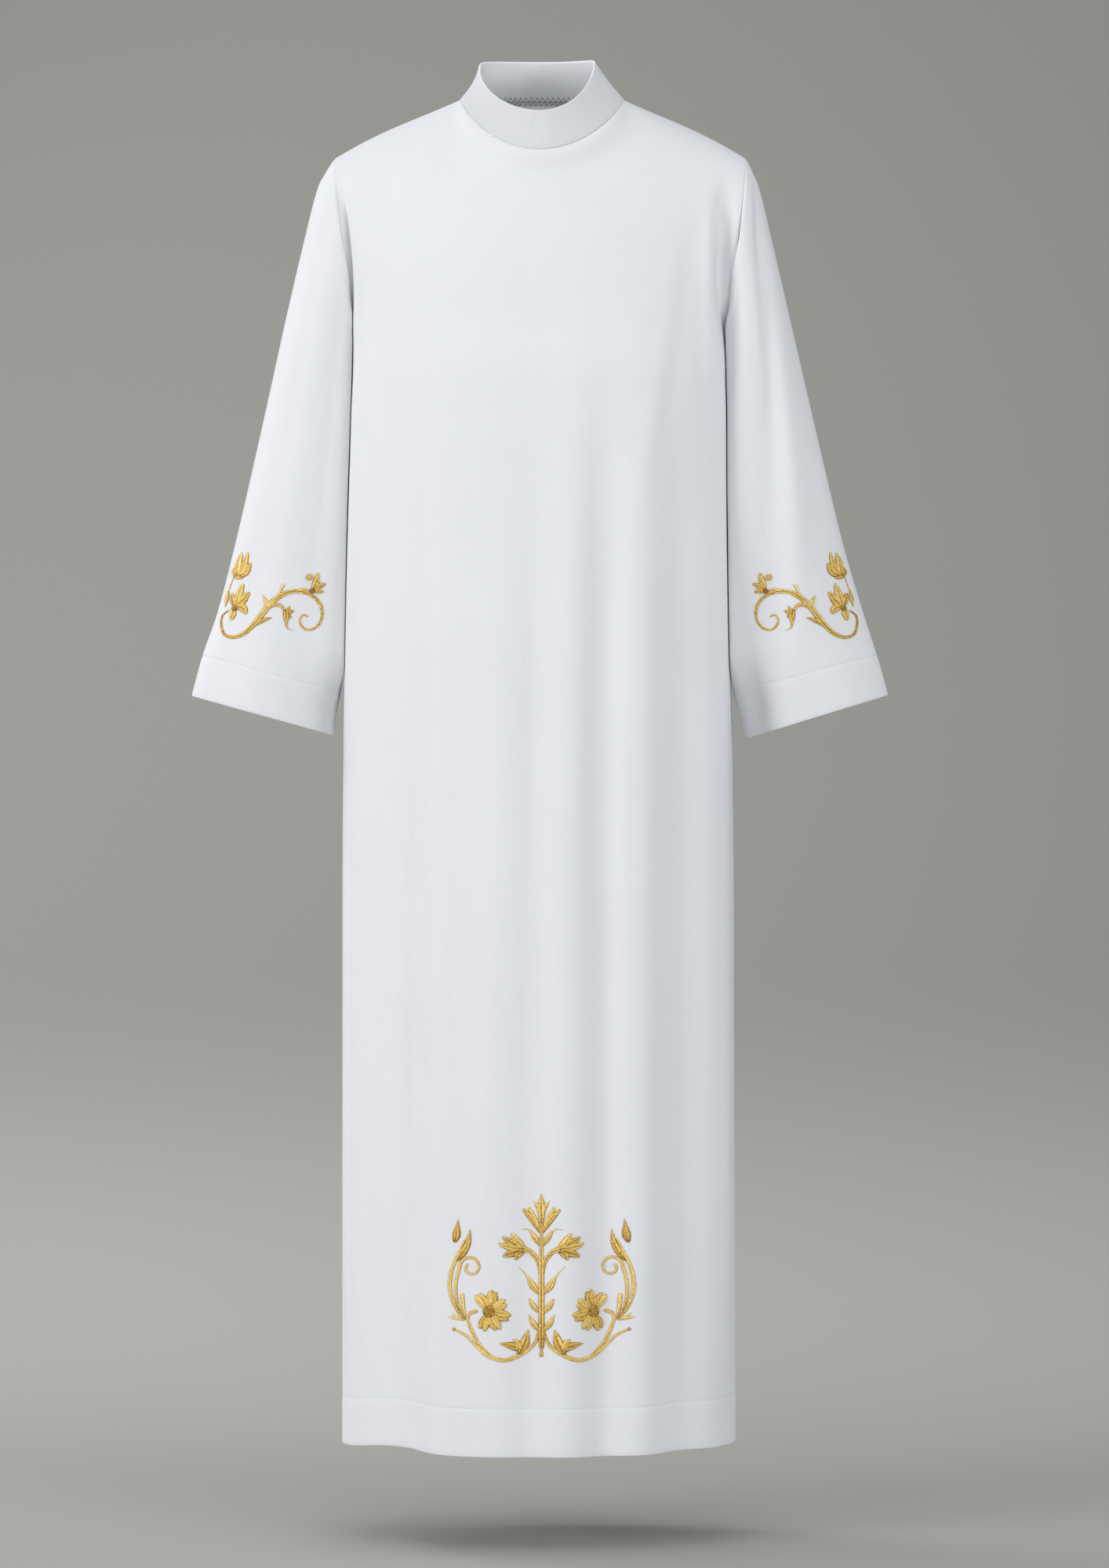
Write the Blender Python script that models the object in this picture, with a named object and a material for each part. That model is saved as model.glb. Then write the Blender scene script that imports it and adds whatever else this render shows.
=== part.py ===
"""A long white alb with a stand collar, hanging as it does on its wearer.

Two body panels, two set-in sleeves and a collar band, each a wall of cloth of its own, and the
underlap that closes the opening in the left shoulder seam. Metres, +Z up, the front faces -Y.
The origin is where the wearer's shoulders carry the alb: midway between the two points where the
shoulder seams meet the collar. Left and right are the wearer's, so the left side is at +X.
"""

from collections import namedtuple

import bmesh
import bpy
import numpy as np

# Cloth
CLOTH = 0.0014
HEM_CLOTH = 0.0026
COLLAR_CLOTH = 0.0026
UNDERLAP_CLOTH = 0.0012
SEAM_GAP = 0.0003
MOST_MITRE = 2.2
HAIRPIN_FROM = 0.0

# Hems
HEM_DROP = 1.472
HEM_DEPTH = 0.051
CUFF_DEPTH = 0.045
HEM_STEP = 0.003

# Shoulders and armholes. A drop is a distance below the origin.
SHOULDER_TIP = {-1: 0.2240, 1: 0.2266}
SHOULDER_TIP_DROP = 0.0655
SHOULDER_BOW = 0.06
UNDERARM_DROP = 0.262
ARMHOLE_DEPTH = 0.062
ROUND_HANDLE = 4 / 3

# Neck seam and collar band
NECK_HALF_WIDTH = {-1: 0.0860, 1: 0.0920}
NECK_FRONT = 0.085
NECK_BACK = 0.072
NECK_FRONT_DROP = 0.064
NECK_BACK_RISE = 0.006
NECK_DIP_POWER = 1.5
RIM_HALF_WIDTH = {-1: 0.0655, 1: 0.0605}
RIM_FRONT = 0.071
RIM_BACK = 0.062
RIM_SIDE_RISE = {-1: 0.0300, 1: 0.0375}
RIM_FRONT_DROP = 0.0215
RIM_BACK_RISE = 0.048
RIM_DIP_POWER = 1.15
RIM_BACK_POWER = 0.35
COLLAR_FLARE = {-1: 0.16, 1: 0.03}
COLLAR_PROUD = 0.0008
COLLAR_SLIT = 0.0008

# The panels' lower part begins at the underarm and, away from the side seams, this much lower.
CHEST_DIP = 0.060
CHEST_DIP_POWER = 8
CHEST_REACH = 0.10
YOKE_REACH = 0.022
YOKE_FALL = 0.042
YOKE_EASING = 30
ARMHOLE_TURN_POWER = 4

# How far down each panel the rows of the underlap lie, from the opening in the left shoulder seam
UNDERLAP_REACH = (0.004, 0.010, 0.017)

# Grid of each wall
YOKE_ROWS = 12
SKIRT_ROWS = 12
SHOULDER_COLUMNS = 11
NECK_COLUMNS = {"front": 18, "back": 14}
COLLAR_ROWS = 4

WHITE_CLOTH = (0.86, 0.87, 0.90, 1.0)
FRONT, BACK = -1, 1
RIGHT_ARM, LEFT_ARM = -1, 1

# A section of 2 is an ellipse, and a larger one is squarer.
BodySection = namedtuple("BodySection", "drop right left front back square")
BODY_SECTIONS = (
    BodySection(0.262, 0.2043, 0.2056, 0.124, 0.112, 3.0),
    BodySection(0.372, 0.2064, 0.2064, 0.130, 0.119, 2.8),
    BodySection(0.527, 0.2107, 0.2076, 0.134, 0.125, 2.6),
    BodySection(0.643, 0.2132, 0.2094, 0.136, 0.129, 2.5),
    BodySection(0.760, 0.2146, 0.2120, 0.137, 0.132, 2.4),
    BodySection(1.100, 0.2154, 0.2137, 0.139, 0.138, 2.3),
    BodySection(1.472, 0.2154, 0.2154, 0.140, 0.143, 2.2),
)

# A fold stands out where its height is positive and sinks where it is negative. Across is its
# distance from the centre line at the top and at the hem, positive to the wearer's left.
Fold = namedtuple("Fold", "across across_hem starts full height width")
FRONT_FOLDS = (
    Fold(-0.170, -0.174, 0.16, 0.60, 0.0030, 0.020),
    Fold(-0.140, -0.141, 0.18, 0.60, -0.0034, 0.019),
    Fold(-0.106, -0.110, 0.22, 0.70, 0.0030, 0.021),
    Fold(-0.075, -0.075, 0.25, 0.70, -0.0020, 0.018),
    Fold(-0.038, -0.046, 0.24, 0.80, 0.0026, 0.022),
    Fold(-0.002, -0.010, 0.24, 0.80, -0.0026, 0.019),
    Fold(0.040, 0.028, 0.20, 0.60, 0.0042, 0.022),
    Fold(0.076, 0.072, 0.22, 0.60, -0.0060, 0.019),
    Fold(0.112, 0.112, 0.18, 0.60, 0.0050, 0.021),
    Fold(0.150, 0.152, 0.16, 0.70, -0.0040, 0.018),
    Fold(0.178, 0.182, 0.20, 0.80, 0.0024, 0.014),
)
BACK_FOLDS = (
    Fold(-0.176, -0.180, 0.20, 0.70, 0.0036, 0.018),
    Fold(-0.136, -0.146, 0.22, 0.80, -0.0050, 0.021),
    Fold(-0.092, -0.104, 0.18, 0.60, 0.0054, 0.024),
    Fold(-0.048, -0.058, 0.20, 0.90, -0.0040, 0.020),
    Fold(-0.010, -0.014, 0.30, 1.00, 0.0034, 0.022),
    Fold(0.030, 0.034, 0.24, 0.80, -0.0046, 0.019),
    Fold(0.074, 0.082, 0.18, 0.60, 0.0058, 0.023),
    Fold(0.118, 0.126, 0.22, 0.80, -0.0048, 0.020),
    Fold(0.160, 0.166, 0.24, 0.80, 0.0034, 0.018),
)

# The tuck that hangs from the front of the left armhole, and the fullness behind the left side.
Tuck = namedtuple("Tuck", "across starts deepest ends height width")
FRONT_TUCKS = (
    Tuck(0.1985, 0.085, 0.160, 0.290, -0.0036, 0.0085),
    Tuck(-0.1990, 0.120, 0.190, 0.290, -0.0024, 0.0085),
)
SIDE_FULLNESS = 0.0075
SIDE_FULLNESS_AT = 0.82
SIDE_FULLNESS_WIDTH = 0.10
SIDE_FULLNESS_DROPS = (0.24, 0.36, 0.70, 0.95)

# The hem hangs a little higher where the cloth is drawn back.
HemLift = namedtuple("HemLift", "across lift width")
FRONT_HEM_LIFTS = (HemLift(-0.165, 0.0075, 0.045), HemLift(0.190, 0.0040, 0.070))
BACK_HEM_LIFTS = (HemLift(-0.120, 0.0030, 0.060), HemLift(0.100, 0.0040, 0.050))

# Where each sleeve lies, seen from the front: a point on its outer edge, the point on its inner
# edge that the same ring passes through, and how far the ring reaches forwards and backwards.
SleeveRing = namedtuple("SleeveRing", "outer outer_drop inner inner_drop front back")
SLEEVE_RINGS = {
    RIGHT_ARM: (
        SleeveRing(0.2240, 0.0655, 0.2043, 0.2620, 0.062, 0.062),
        SleeveRing(0.2343, 0.0817, 0.2049, 0.2709, 0.064, 0.064),
        SleeveRing(0.2438, 0.1015, 0.2055, 0.2830, 0.066, 0.066),
        SleeveRing(0.2584, 0.1591, 0.2066, 0.3120, 0.069, 0.069),
        SleeveRing(0.2765, 0.2365, 0.2078, 0.3612, 0.070, 0.071),
        SleeveRing(0.2954, 0.3225, 0.2094, 0.4214, 0.069, 0.070),
        SleeveRing(0.3143, 0.4068, 0.2112, 0.4816, 0.067, 0.067),
        SleeveRing(0.3333, 0.4885, 0.2129, 0.5418, 0.063, 0.063),
        SleeveRing(0.3522, 0.5616, 0.2142, 0.5976, 0.059, 0.059),
        SleeveRing(0.3680, 0.6070, 0.2190, 0.6476, 0.056, 0.056),
        SleeveRing(0.3806, 0.6536, 0.2258, 0.6966, 0.053, 0.053),
    ),
    LEFT_ARM: (
        SleeveRing(0.2266, 0.0655, 0.2056, 0.2620, 0.062, 0.062),
        SleeveRing(0.2344, 0.0817, 0.2066, 0.2709, 0.064, 0.064),
        SleeveRing(0.2421, 0.1015, 0.2076, 0.2830, 0.066, 0.066),
        SleeveRing(0.2559, 0.1591, 0.2094, 0.3120, 0.069, 0.069),
        SleeveRing(0.2739, 0.2365, 0.2112, 0.3612, 0.070, 0.071),
        SleeveRing(0.2937, 0.3225, 0.2126, 0.4214, 0.069, 0.070),
        SleeveRing(0.3135, 0.4068, 0.2140, 0.4816, 0.067, 0.067),
        SleeveRing(0.3333, 0.4885, 0.2162, 0.5418, 0.063, 0.063),
        SleeveRing(0.3548, 0.5616, 0.2206, 0.5976, 0.059, 0.059),
        SleeveRing(0.3694, 0.6070, 0.2256, 0.6476, 0.056, 0.056),
        SleeveRing(0.3823, 0.6527, 0.2309, 0.6992, 0.053, 0.053),
    ),
}
SLEEVE_STATIONS = (0, 0.5, 1, 1.5, 2, 2.5, 3, 3.6, 4.3, 5, 5.8, 6.6, 7.4, 8.2, 8.9)
ARMHOLE_EASE_RINGS = 2.5

# Folds along a sleeve: degrees round it from the outer edge, forwards first.
SleeveFold = namedtuple("SleeveFold", "degrees starts full height width")
SLEEVE_FOLDS = {
    RIGHT_ARM: (
        SleeveFold(75, 2.0, 6.0, 0.0022, 18),
        SleeveFold(122, 1.5, 5.0, -0.0040, 16),
        SleeveFold(152, 2.5, 6.0, 0.0020, 12),
        SleeveFold(235, 1.5, 5.0, -0.0044, 18),
        SleeveFold(280, 2.0, 6.0, 0.0034, 20),
    ),
    LEFT_ARM: (
        SleeveFold(62, 1.5, 4.0, 0.0030, 14),
        SleeveFold(98, 1.0, 3.5, -0.0056, 15),
        SleeveFold(138, 1.5, 4.0, 0.0034, 15),
        SleeveFold(228, 1.5, 5.0, 0.0034, 20),
        SleeveFold(272, 1.5, 5.0, -0.0048, 18),
    ),
}


def column(table, name):
    return np.array([getattr(row, name) for row in table])


def smooth_through(at, known, values):
    """A curve through the known values: cubic between each two, its slopes taken from their neighbours."""
    slopes = np.gradient(values, known)
    below = np.clip(np.searchsorted(known, at, side="right") - 1, 0, len(known) - 2)
    span = known[below + 1] - known[below]
    f = (at - known[below]) / span
    start, end = values[below], values[below + 1]
    rise = start * (1 + 2 * f) * (1 - f) ** 2 + end * f**2 * (3 - 2 * f)
    lean = span * f * (1 - f) * (slopes[below] * (1 - f) - slopes[below + 1] * f)
    return rise + lean


def ramp(value, low, high):
    """0 below low, 1 above high, with a soft change between."""
    f = np.clip((value - low) / (high - low), 0, 1)
    return f * f * (3 - 2 * f)


def unit(vectors):
    return vectors / np.maximum(np.linalg.norm(vectors, axis=-1, keepdims=True), 1e-12)


def bell(distance, width):
    return np.exp(-((distance / width) ** 2))


def by_side(x, sizes):
    """The right side's size where x is negative, and the left side's elsewhere."""
    return np.where(x < 0, sizes[-1], sizes[1])


# Seams that two pieces share

def neck_seam(turn, side):
    """The neck seam at a turn from -1, the right neck point, to 1, the left one, by the front or the back."""
    angle = turn * np.pi / 2
    near = np.cos(angle)
    x = by_side(turn, NECK_HALF_WIDTH) * np.sin(angle)
    if side == FRONT:
        return np.stack([x, -NECK_FRONT * near, -NECK_FRONT_DROP * near**NECK_DIP_POWER], axis=-1)
    return np.stack([x, NECK_BACK * near, NECK_BACK_RISE * near], axis=-1)


def shoulder_seam(share, arm):
    """The shoulder seam, from the neck point at share 0 to the shoulder tip at 1, a little rounded."""
    fall = share - SHOULDER_BOW * np.sin(np.pi * share**1.5)
    x = NECK_HALF_WIDTH[arm] + (SHOULDER_TIP[arm] - NECK_HALF_WIDTH[arm]) * share
    return np.stack([arm * x, np.zeros_like(x), -SHOULDER_TIP_DROP * fall], axis=-1)


def panel_columns(side):
    """Places across a panel from -1, its right edge, to 1, its left edge, and the share the neck takes."""
    name = "front" if side == FRONT else "back"
    count = 2 * SHOULDER_COLUMNS + NECK_COLUMNS[name]
    return np.linspace(-1, 1, count + 1), NECK_COLUMNS[name] / count


def top_edge(across, neck_share, side):
    """A panel's top edge: shoulder seam, neck seam, shoulder seam."""
    out = np.clip((np.abs(across) - neck_share) / (1 - neck_share), 0, 1)
    shoulders = np.where(
        (across < 0)[:, None], shoulder_seam(out, RIGHT_ARM), shoulder_seam(out, LEFT_ARM)
    )
    neck = neck_seam(np.clip(across / neck_share, -1, 1), side)
    return np.where((np.abs(across) > neck_share)[:, None], shoulders, neck)


# Body panels

def chest_line(across):
    """How far down the underarm line lies, where the cubic columns of the yoke end."""
    return UNDERARM_DROP + CHEST_DIP * (1 - np.abs(across) ** CHEST_DIP_POWER)


def half_ring(across, drop, side):
    """Half of a body section: a squared ellipse through the side seams and the middle of the panel."""
    drops = column(BODY_SECTIONS, "drop")
    sizes = {
        name: smooth_through(drop, drops, column(BODY_SECTIONS, name))
        for name in BodySection._fields[1:]
    }
    angle = across * np.pi / 2
    power = 2 / sizes["square"]
    half_width = np.where(across < 0, sizes["right"], sizes["left"])
    depth = sizes["front"] if side == FRONT else sizes["back"]
    x = half_width * np.sign(across) * np.abs(np.sin(angle)) ** power
    y = side * depth * np.clip(np.cos(angle), 0, 1) ** power
    return np.stack([x, y, -drop], axis=-1)


def yoke(across, neck_share, side, rows):
    """The panel above the underarm: each column is a cubic curve from the top edge to the chest section."""
    edge = np.abs(across)
    top = top_edge(across, neck_share, side)
    chest = half_ring(across, chest_line(across), side)
    handle = ARMHOLE_DEPTH * ROUND_HANDLE
    near = np.cos(np.clip(across / neck_share, -1, 1) * np.pi / 2)
    reach = handle - (handle - YOKE_REACH) * near
    fall = YOKE_FALL * np.clip((1 - edge) / (1 - neck_share), 0, 1)
    spread = (chest - top)[:, 0] * (1 - edge)
    leave = top + np.stack([spread, side * reach, -fall], axis=-1)
    forwards = handle * edge**ARMHOLE_TURN_POWER
    upwards = CHEST_REACH * (1 - edge ** (3 * ARMHOLE_TURN_POWER))
    arrive = chest + np.stack([np.zeros_like(edge), side * forwards, upwards], axis=-1)
    t = rows[:, None, None]
    points = (
        top * (1 - t) ** 3
        + 3 * leave * t * (1 - t) ** 2
        + 3 * arrive * t**2 * (1 - t)
        + chest * t**3
    )
    # The crease that starts where the shoulder seam meets the neck seam is eased out below it.
    loose = ramp(rows, 0, 0.25)[:, None] * ramp(1 - rows, 0, 0.3)[:, None] * (1 - edge**6)
    for _ in range(YOKE_EASING):
        normals = grid_normals(points, side)[:, 1:-1]
        bend = np.sum(np.diff(points, n=2, axis=1) * normals, axis=-1, keepdims=True)
        points[:, 1:-1] += loose[:, 1:-1, None] * bend * normals / 3
    return points


def fold_height(x, drop, folds):
    """How far the soft folds stand out of the plain surface."""
    total = np.zeros_like(x)
    for fold in folds:
        along = np.clip(drop / HEM_DROP, 0, 1)
        centre = fold.across + (fold.across_hem - fold.across) * along
        total += fold.height * bell(x - centre, fold.width) * ramp(drop, fold.starts, fold.full)
    return total


def tuck_height(x, drop, tucks):
    total = np.zeros_like(x)
    for tuck in tucks:
        along = ramp(drop, tuck.starts, tuck.deepest) * (1 - ramp(drop, tuck.deepest, tuck.ends))
        total += tuck.height * bell(x - tuck.across, tuck.width) * along
    return total


def fullness_height(across, drop):
    """The soft roll of the back panel just behind the left side seam, where the arm lifts the cloth."""
    low, high, falls, gone = SIDE_FULLNESS_DROPS
    along = ramp(drop, low, high) * (1 - ramp(drop, falls, gone))
    return SIDE_FULLNESS * bell(across - SIDE_FULLNESS_AT, SIDE_FULLNESS_WIDTH) * along


def panel_outer(side):
    """The outer points of a body panel, rows running down, the seam gap already taken off."""
    across, neck_share = panel_columns(side)
    yoke_rows = np.linspace(0, 1, YOKE_ROWS + 1)
    hem_line = HEM_DROP - HEM_DEPTH
    upper = yoke(across, neck_share, side, yoke_rows)
    fall = np.linspace(0, 1, SKIRT_ROWS + 1)[1:, None]
    skirt_drops = chest_line(across) * (1 - fall) + (hem_line - HEM_STEP) * fall
    hem_drops = np.array([hem_line, HEM_DROP - HEM_DEPTH / 2, HEM_DROP])[:, None]
    drops = np.concatenate([skirt_drops, hem_drops + np.zeros_like(across)])
    skirt = np.stack([half_ring(across, drop, side) for drop in drops])
    plain = np.concatenate([upper, skirt])
    x, drop = plain[..., 0], -plain[..., 2]
    settled = 1 - ramp(np.abs(across), 0.90, 0.99)
    folds, lifts = (FRONT_FOLDS, FRONT_HEM_LIFTS) if side == FRONT else (BACK_FOLDS, BACK_HEM_LIFTS)
    height = fold_height(x, drop, folds) * settled
    if side == FRONT:
        height += tuck_height(x, drop, FRONT_TUCKS) * (1 - ramp(np.abs(across), 0.95, 0.999))
    else:
        height += fullness_height(across, drop) * (1 - ramp(np.abs(across), 0.93, 0.995))
    outer = plain + grid_normals(plain, side) * height[..., None]
    for lift in lifts:
        raised = lift.lift * bell(x - lift.across, lift.width) * ramp(drop, HEM_DROP - 0.35, HEM_DROP)
        outer[..., 2] += raised
    outer[..., 1] += side * SEAM_GAP / 2
    return outer


def grid_normals(points, side):
    """Unit normals of an open grid, pointing out of the body."""
    down, right = np.gradient(points, axis=0), np.gradient(points, axis=1)
    return unit(side * np.cross(right, down))


# Sleeves

def sleeve_outer(arm, armhole):
    """The outer points of a sleeve. Ring 0 is the armhole loop, and the cuff is the last ring."""
    table = SLEEVE_RINGS[arm]
    index = np.arange(len(table), dtype=float)
    length = np.hypot(table[-1].outer - table[-2].outer, table[-1].outer_drop - table[-2].outer_drop)
    cuff_line = index[-1] - CUFF_DEPTH / length
    step = HEM_STEP / length
    stations = np.array([*SLEEVE_STATIONS, cuff_line - step, cuff_line, index[-1]])
    at = {name: smooth_through(stations, index, column(table, name)) for name in SleeveRing._fields}
    turn = np.arange(2 * YOKE_ROWS) * np.pi / YOKE_ROWS
    outer = np.stack([arm * at["outer"], 0 * stations, -at["outer_drop"]], axis=-1)
    inner = np.stack([arm * at["inner"], 0 * stations, -at["inner_drop"]], axis=-1)
    centre, half = (outer + inner) / 2, (outer - inner) / 2
    reach = np.where(np.sin(turn) > 0, at["front"][:, None], at["back"][:, None])
    rings = centre[:, None] + half[:, None] * np.cos(turn)[None, :, None]
    rings[..., 1] -= reach * np.sin(turn)
    ease = (1 - ramp(stations, 0, ARMHOLE_EASE_RINGS))[:, None, None]
    rings += (armhole - rings[0]) * ease
    height = np.zeros(rings.shape[:2])
    for fold in SLEEVE_FOLDS[arm]:
        away = (np.degrees(turn) - fold.degrees + 180) % 360 - 180
        height += fold.height * np.outer(ramp(stations, fold.starts, fold.full), bell(away, fold.width))
    return rings + ring_normals(rings) * height[..., None], stations >= cuff_line - 1e-9


def ring_normals(points):
    """Unit normals of a tube of rings, pointing away from the middle of each ring."""
    wrapped = np.concatenate([points[:, -1:], points, points[:, :1]], axis=1)
    round_it = np.gradient(wrapped, axis=1)[:, 1:-1]
    normals = unit(np.cross(np.gradient(points, axis=0), round_it))
    outwards = np.sum(normals * (points - points.mean(axis=1, keepdims=True)), axis=-1).sum() > 0
    return normals if outwards else -normals


# Collar

def collar_outer():
    """The outer points of the band, from its neck seam up to the rim, round from the opening in the left
    shoulder by the front, the right shoulder and the back to the opening again."""
    front_turns = np.linspace(1, -1, NECK_COLUMNS["front"] + 1)
    back_turns = np.linspace(-1, 1, NECK_COLUMNS["back"] + 1)[1:]
    foot = np.concatenate([neck_seam(front_turns, FRONT), neck_seam(back_turns, BACK)])
    rim = np.concatenate([collar_rim(front_turns, FRONT), collar_rim(back_turns, BACK)])
    flare = by_side(np.concatenate([front_turns, back_turns]), COLLAR_FLARE)
    rows = np.linspace(0, 1, COLLAR_ROWS + 1)[:, None]
    inwards = np.repeat((rows + flare * np.sin(np.pi * rows))[..., None], 3, axis=-1)
    inwards[..., 2] = rows
    return foot + (rim - foot) * inwards


def collar_rim(turn, side):
    angle = turn * np.pi / 2
    near = np.cos(angle)
    side_rise = (RIM_SIDE_RISE[1] + RIM_SIDE_RISE[-1]) / 2 + np.sin(angle) * (
        RIM_SIDE_RISE[1] - RIM_SIDE_RISE[-1]
    ) / 2
    x = by_side(turn, RIM_HALF_WIDTH) * np.sin(angle)
    if side == FRONT:
        z = side_rise - (side_rise + RIM_FRONT_DROP) * near**RIM_DIP_POWER
        return np.stack([x, -RIM_FRONT * near, z], axis=-1)
    z = side_rise + (RIM_BACK_RISE - side_rise) * near**RIM_BACK_POWER
    return np.stack([x, RIM_BACK * near, z], axis=-1)


# Walls

def mitre(own, other, corners, square_from=2.0):
    """The way an end face runs from the outside of the cloth to its inside where two pieces meet. It
    halves the angle between their normals, or is square to its own piece where the seam is a hairpin.
    At the corners, where front and back meet, it keeps to the middle plane."""
    hairpin = ramp(-np.sum(own * other, axis=-1, keepdims=True), square_from, square_from + 0.6)
    ends = -(own + other * (1 - hairpin))
    ends[corners, 1] = 0
    return unit(ends)


def mitred(direction, normals, thickness):
    """An end face's full width: longer than the cloth is thick where the two pieces meet at an angle."""
    square_on = np.maximum(-np.sum(direction * normals, axis=-1, keepdims=True), 1 / MOST_MITRE)
    return direction * thickness / square_on


def halves(quads):
    """Two triangles for each quad, with the same diagonal on the outside and the inside of the cloth."""
    return np.concatenate([quads[:, [0, 1, 2]], quads[:, [0, 2, 3]]])


def cloth_wall(name, outer, inner, closed, colour=WHITE_CLOTH):
    """One closed wall between an outer and an inner grid of points, with its rims filled."""
    rows, columns = outer.shape[:2]
    index = np.arange(rows * columns).reshape(rows, columns)
    if closed:
        index = np.concatenate([index, index[:, :1]], axis=1)
        rims = [index[0], index[-1]]
    else:
        rims = [np.concatenate([index[0], index[1:, -1], index[-1, -2::-1], index[-2::-1, 0]])]
    cells = np.stack([index[:-1, :-1], index[1:, :-1], index[1:, 1:], index[:-1, 1:]], axis=-1)
    left_half = slice(cells.shape[1] // 2, None)
    cells[:, left_half] = np.roll(cells[:, left_half], 1, axis=-1)
    front = halves(cells.reshape(-1, 4))
    behind = rows * columns
    faces = [front, front[:, ::-1] + behind]
    for rim in rims:
        ends = np.stack([rim[:-1], rim[1:], rim[1:] + behind, rim[:-1] + behind], axis=-1)
        faces.append(halves(ends))
    mesh = bpy.data.meshes.new(name)
    points = np.concatenate([outer.reshape(-1, 3), inner.reshape(-1, 3)])
    mesh.from_pydata(points.tolist(), [], np.concatenate(faces).tolist())
    outwards = bmesh.new()
    outwards.from_mesh(mesh)
    bmesh.ops.recalc_face_normals(outwards, faces=outwards.faces)
    outwards.to_mesh(mesh)
    outwards.free()
    mesh.shade_smooth()
    mesh.set_sharp_from_angle(angle=np.radians(50))
    mesh.materials.append(cloth_material(name, colour))
    garment = bpy.data.objects.new(name, mesh)
    bpy.data.collections["alb"].objects.link(garment)
    return garment


def cloth_material(name, colour):
    material = bpy.data.materials.new(name + "_cloth")
    material.use_nodes = True
    surface = material.node_tree.nodes["Principled BSDF"]
    surface.inputs["Base Color"].default_value = colour
    surface.inputs["Roughness"].default_value = 0.85
    surface.inputs["Metallic"].default_value = 0.0
    return material


def panel_inner(outer, side, seams):
    """A panel's inner points: plain inside, thicker at the turned-up hem, cut to meet its neighbours."""
    normals = grid_normals(outer, side)
    across, neck_share = panel_columns(side)
    thickness = np.full((len(outer), 1, 1), CLOTH)
    thickness[-3:] = HEM_CLOTH
    inwards = -normals * thickness
    # Side seams and shoulder seams lie in the middle plane, so their end faces keep to it.
    for edge in (0, -1):
        level = unit(normals[:, edge] * np.array([1, 0, 1]))
        inwards[:, edge] = mitred(-level, normals[:, edge], thickness[:, 0])
    level = unit(normals[0] * np.array([1, 0, 1]))
    on_shoulder = np.abs(across) >= neck_share - 1e-9
    inwards[0, on_shoulder] = mitred(-level, normals[0], CLOTH)[on_shoulder]
    on_neck = np.abs(across) <= neck_share + 1e-9
    inwards[0, on_neck] = mitred(seams["neck", side], normals[0, on_neck], CLOTH)
    for arm, edge in ((RIGHT_ARM, 0), (LEFT_ARM, -1)):
        ends = seams["armhole", arm][side]
        inwards[: YOKE_ROWS + 1, edge] = mitred(ends, normals[: YOKE_ROWS + 1, edge], CLOTH)
    return outer + inwards


def pull_back(outer, ends, along, distance):
    """Moves an edge off its seam, square to the seam and to its end face, towards its own piece."""
    tangent = np.gradient(outer, axis=0)
    away = unit(np.cross(tangent, ends))
    away *= np.sign(np.sum(away * along, axis=-1, keepdims=True))
    return away * distance


def build_alb():
    panels = {side: panel_outer(side) for side in (FRONT, BACK)}
    normals = {side: grid_normals(panels[side], side) for side in (FRONT, BACK)}
    seams = {}

    # The collar stands on the neck seam.
    collar = collar_outer()
    collar_normals = -collar_inward_normals(collar)
    split = NECK_COLUMNS["front"] + 1
    for side in (FRONT, BACK):
        across, neck_share = panel_columns(side)
        on_neck = np.abs(across) <= neck_share + 1e-9
        round_neck = collar_normals[0, :split][::-1] if side == FRONT else collar_normals[0, split - 1 :]
        seams["neck", side] = mitre(normals[side][0, on_neck], round_neck, [0, -1])

    # Each sleeve's first ring is the loop of the two panels' armhole edges.
    sleeves = {}
    for arm, edge in ((RIGHT_ARM, 0), (LEFT_ARM, -1)):
        front_edge = panels[FRONT][: YOKE_ROWS + 1, edge]
        back_edge = panels[BACK][: YOKE_ROWS + 1, edge]
        loop = np.concatenate([front_edge[:-1], back_edge[:0:-1]])
        body = np.concatenate(
            [normals[FRONT][:YOKE_ROWS, edge], normals[BACK][YOKE_ROWS:0:-1, edge]]
        )
        rings, turned_up = sleeve_outer(arm, loop)
        tube = ring_normals(rings)
        corners = [0, YOKE_ROWS]
        ends = mitre(body, tube[0], corners, HAIRPIN_FROM)
        closed = np.concatenate([ends, ends[:1]])
        seams["armhole", arm] = {FRONT: closed[: YOKE_ROWS + 1], BACK: closed[YOKE_ROWS:][::-1]}
        wrapped = np.concatenate([rings[0][-1:], rings[0], rings[0][:1]])
        around = np.gradient(wrapped, axis=0)[1:-1]
        away = unit(np.cross(around, mitre(body, tube[0], corners)))
        away *= np.sign(np.sum(away * (rings[1] - rings[0]), axis=-1, keepdims=True))
        rings[0] += away * SEAM_GAP
        ends = mitre(tube[0], body, corners, HAIRPIN_FROM)
        thickness = np.where(turned_up, HEM_CLOTH, CLOTH)[:, None, None]
        inwards = -tube * thickness
        inwards[0] = mitred(ends, tube[0], CLOTH)
        sleeves[arm] = rings, rings + inwards

    for side, name in ((FRONT, "front_panel"), (BACK, "back_panel")):
        cloth_wall(name, panels[side], panel_inner(panels[side], side, seams), closed=False)
    for arm, name in ((RIGHT_ARM, "sleeve_right"), (LEFT_ARM, "sleeve_left")):
        cloth_wall(name, *sleeves[arm], closed=True)
    build_collar(collar, collar_normals, seams)
    build_underlap(panels, normals)


def collar_inward_normals(collar):
    """Unit normals of the band, pointing at the wearer's neck."""
    round_it, up = np.gradient(collar, axis=1), np.gradient(collar, axis=0)
    normals = unit(np.cross(round_it, up))
    middle = collar.mean(axis=1, keepdims=True)
    inwards = np.sum(normals * (middle - collar), axis=-1).sum() > 0
    return normals if inwards else -normals


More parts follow.
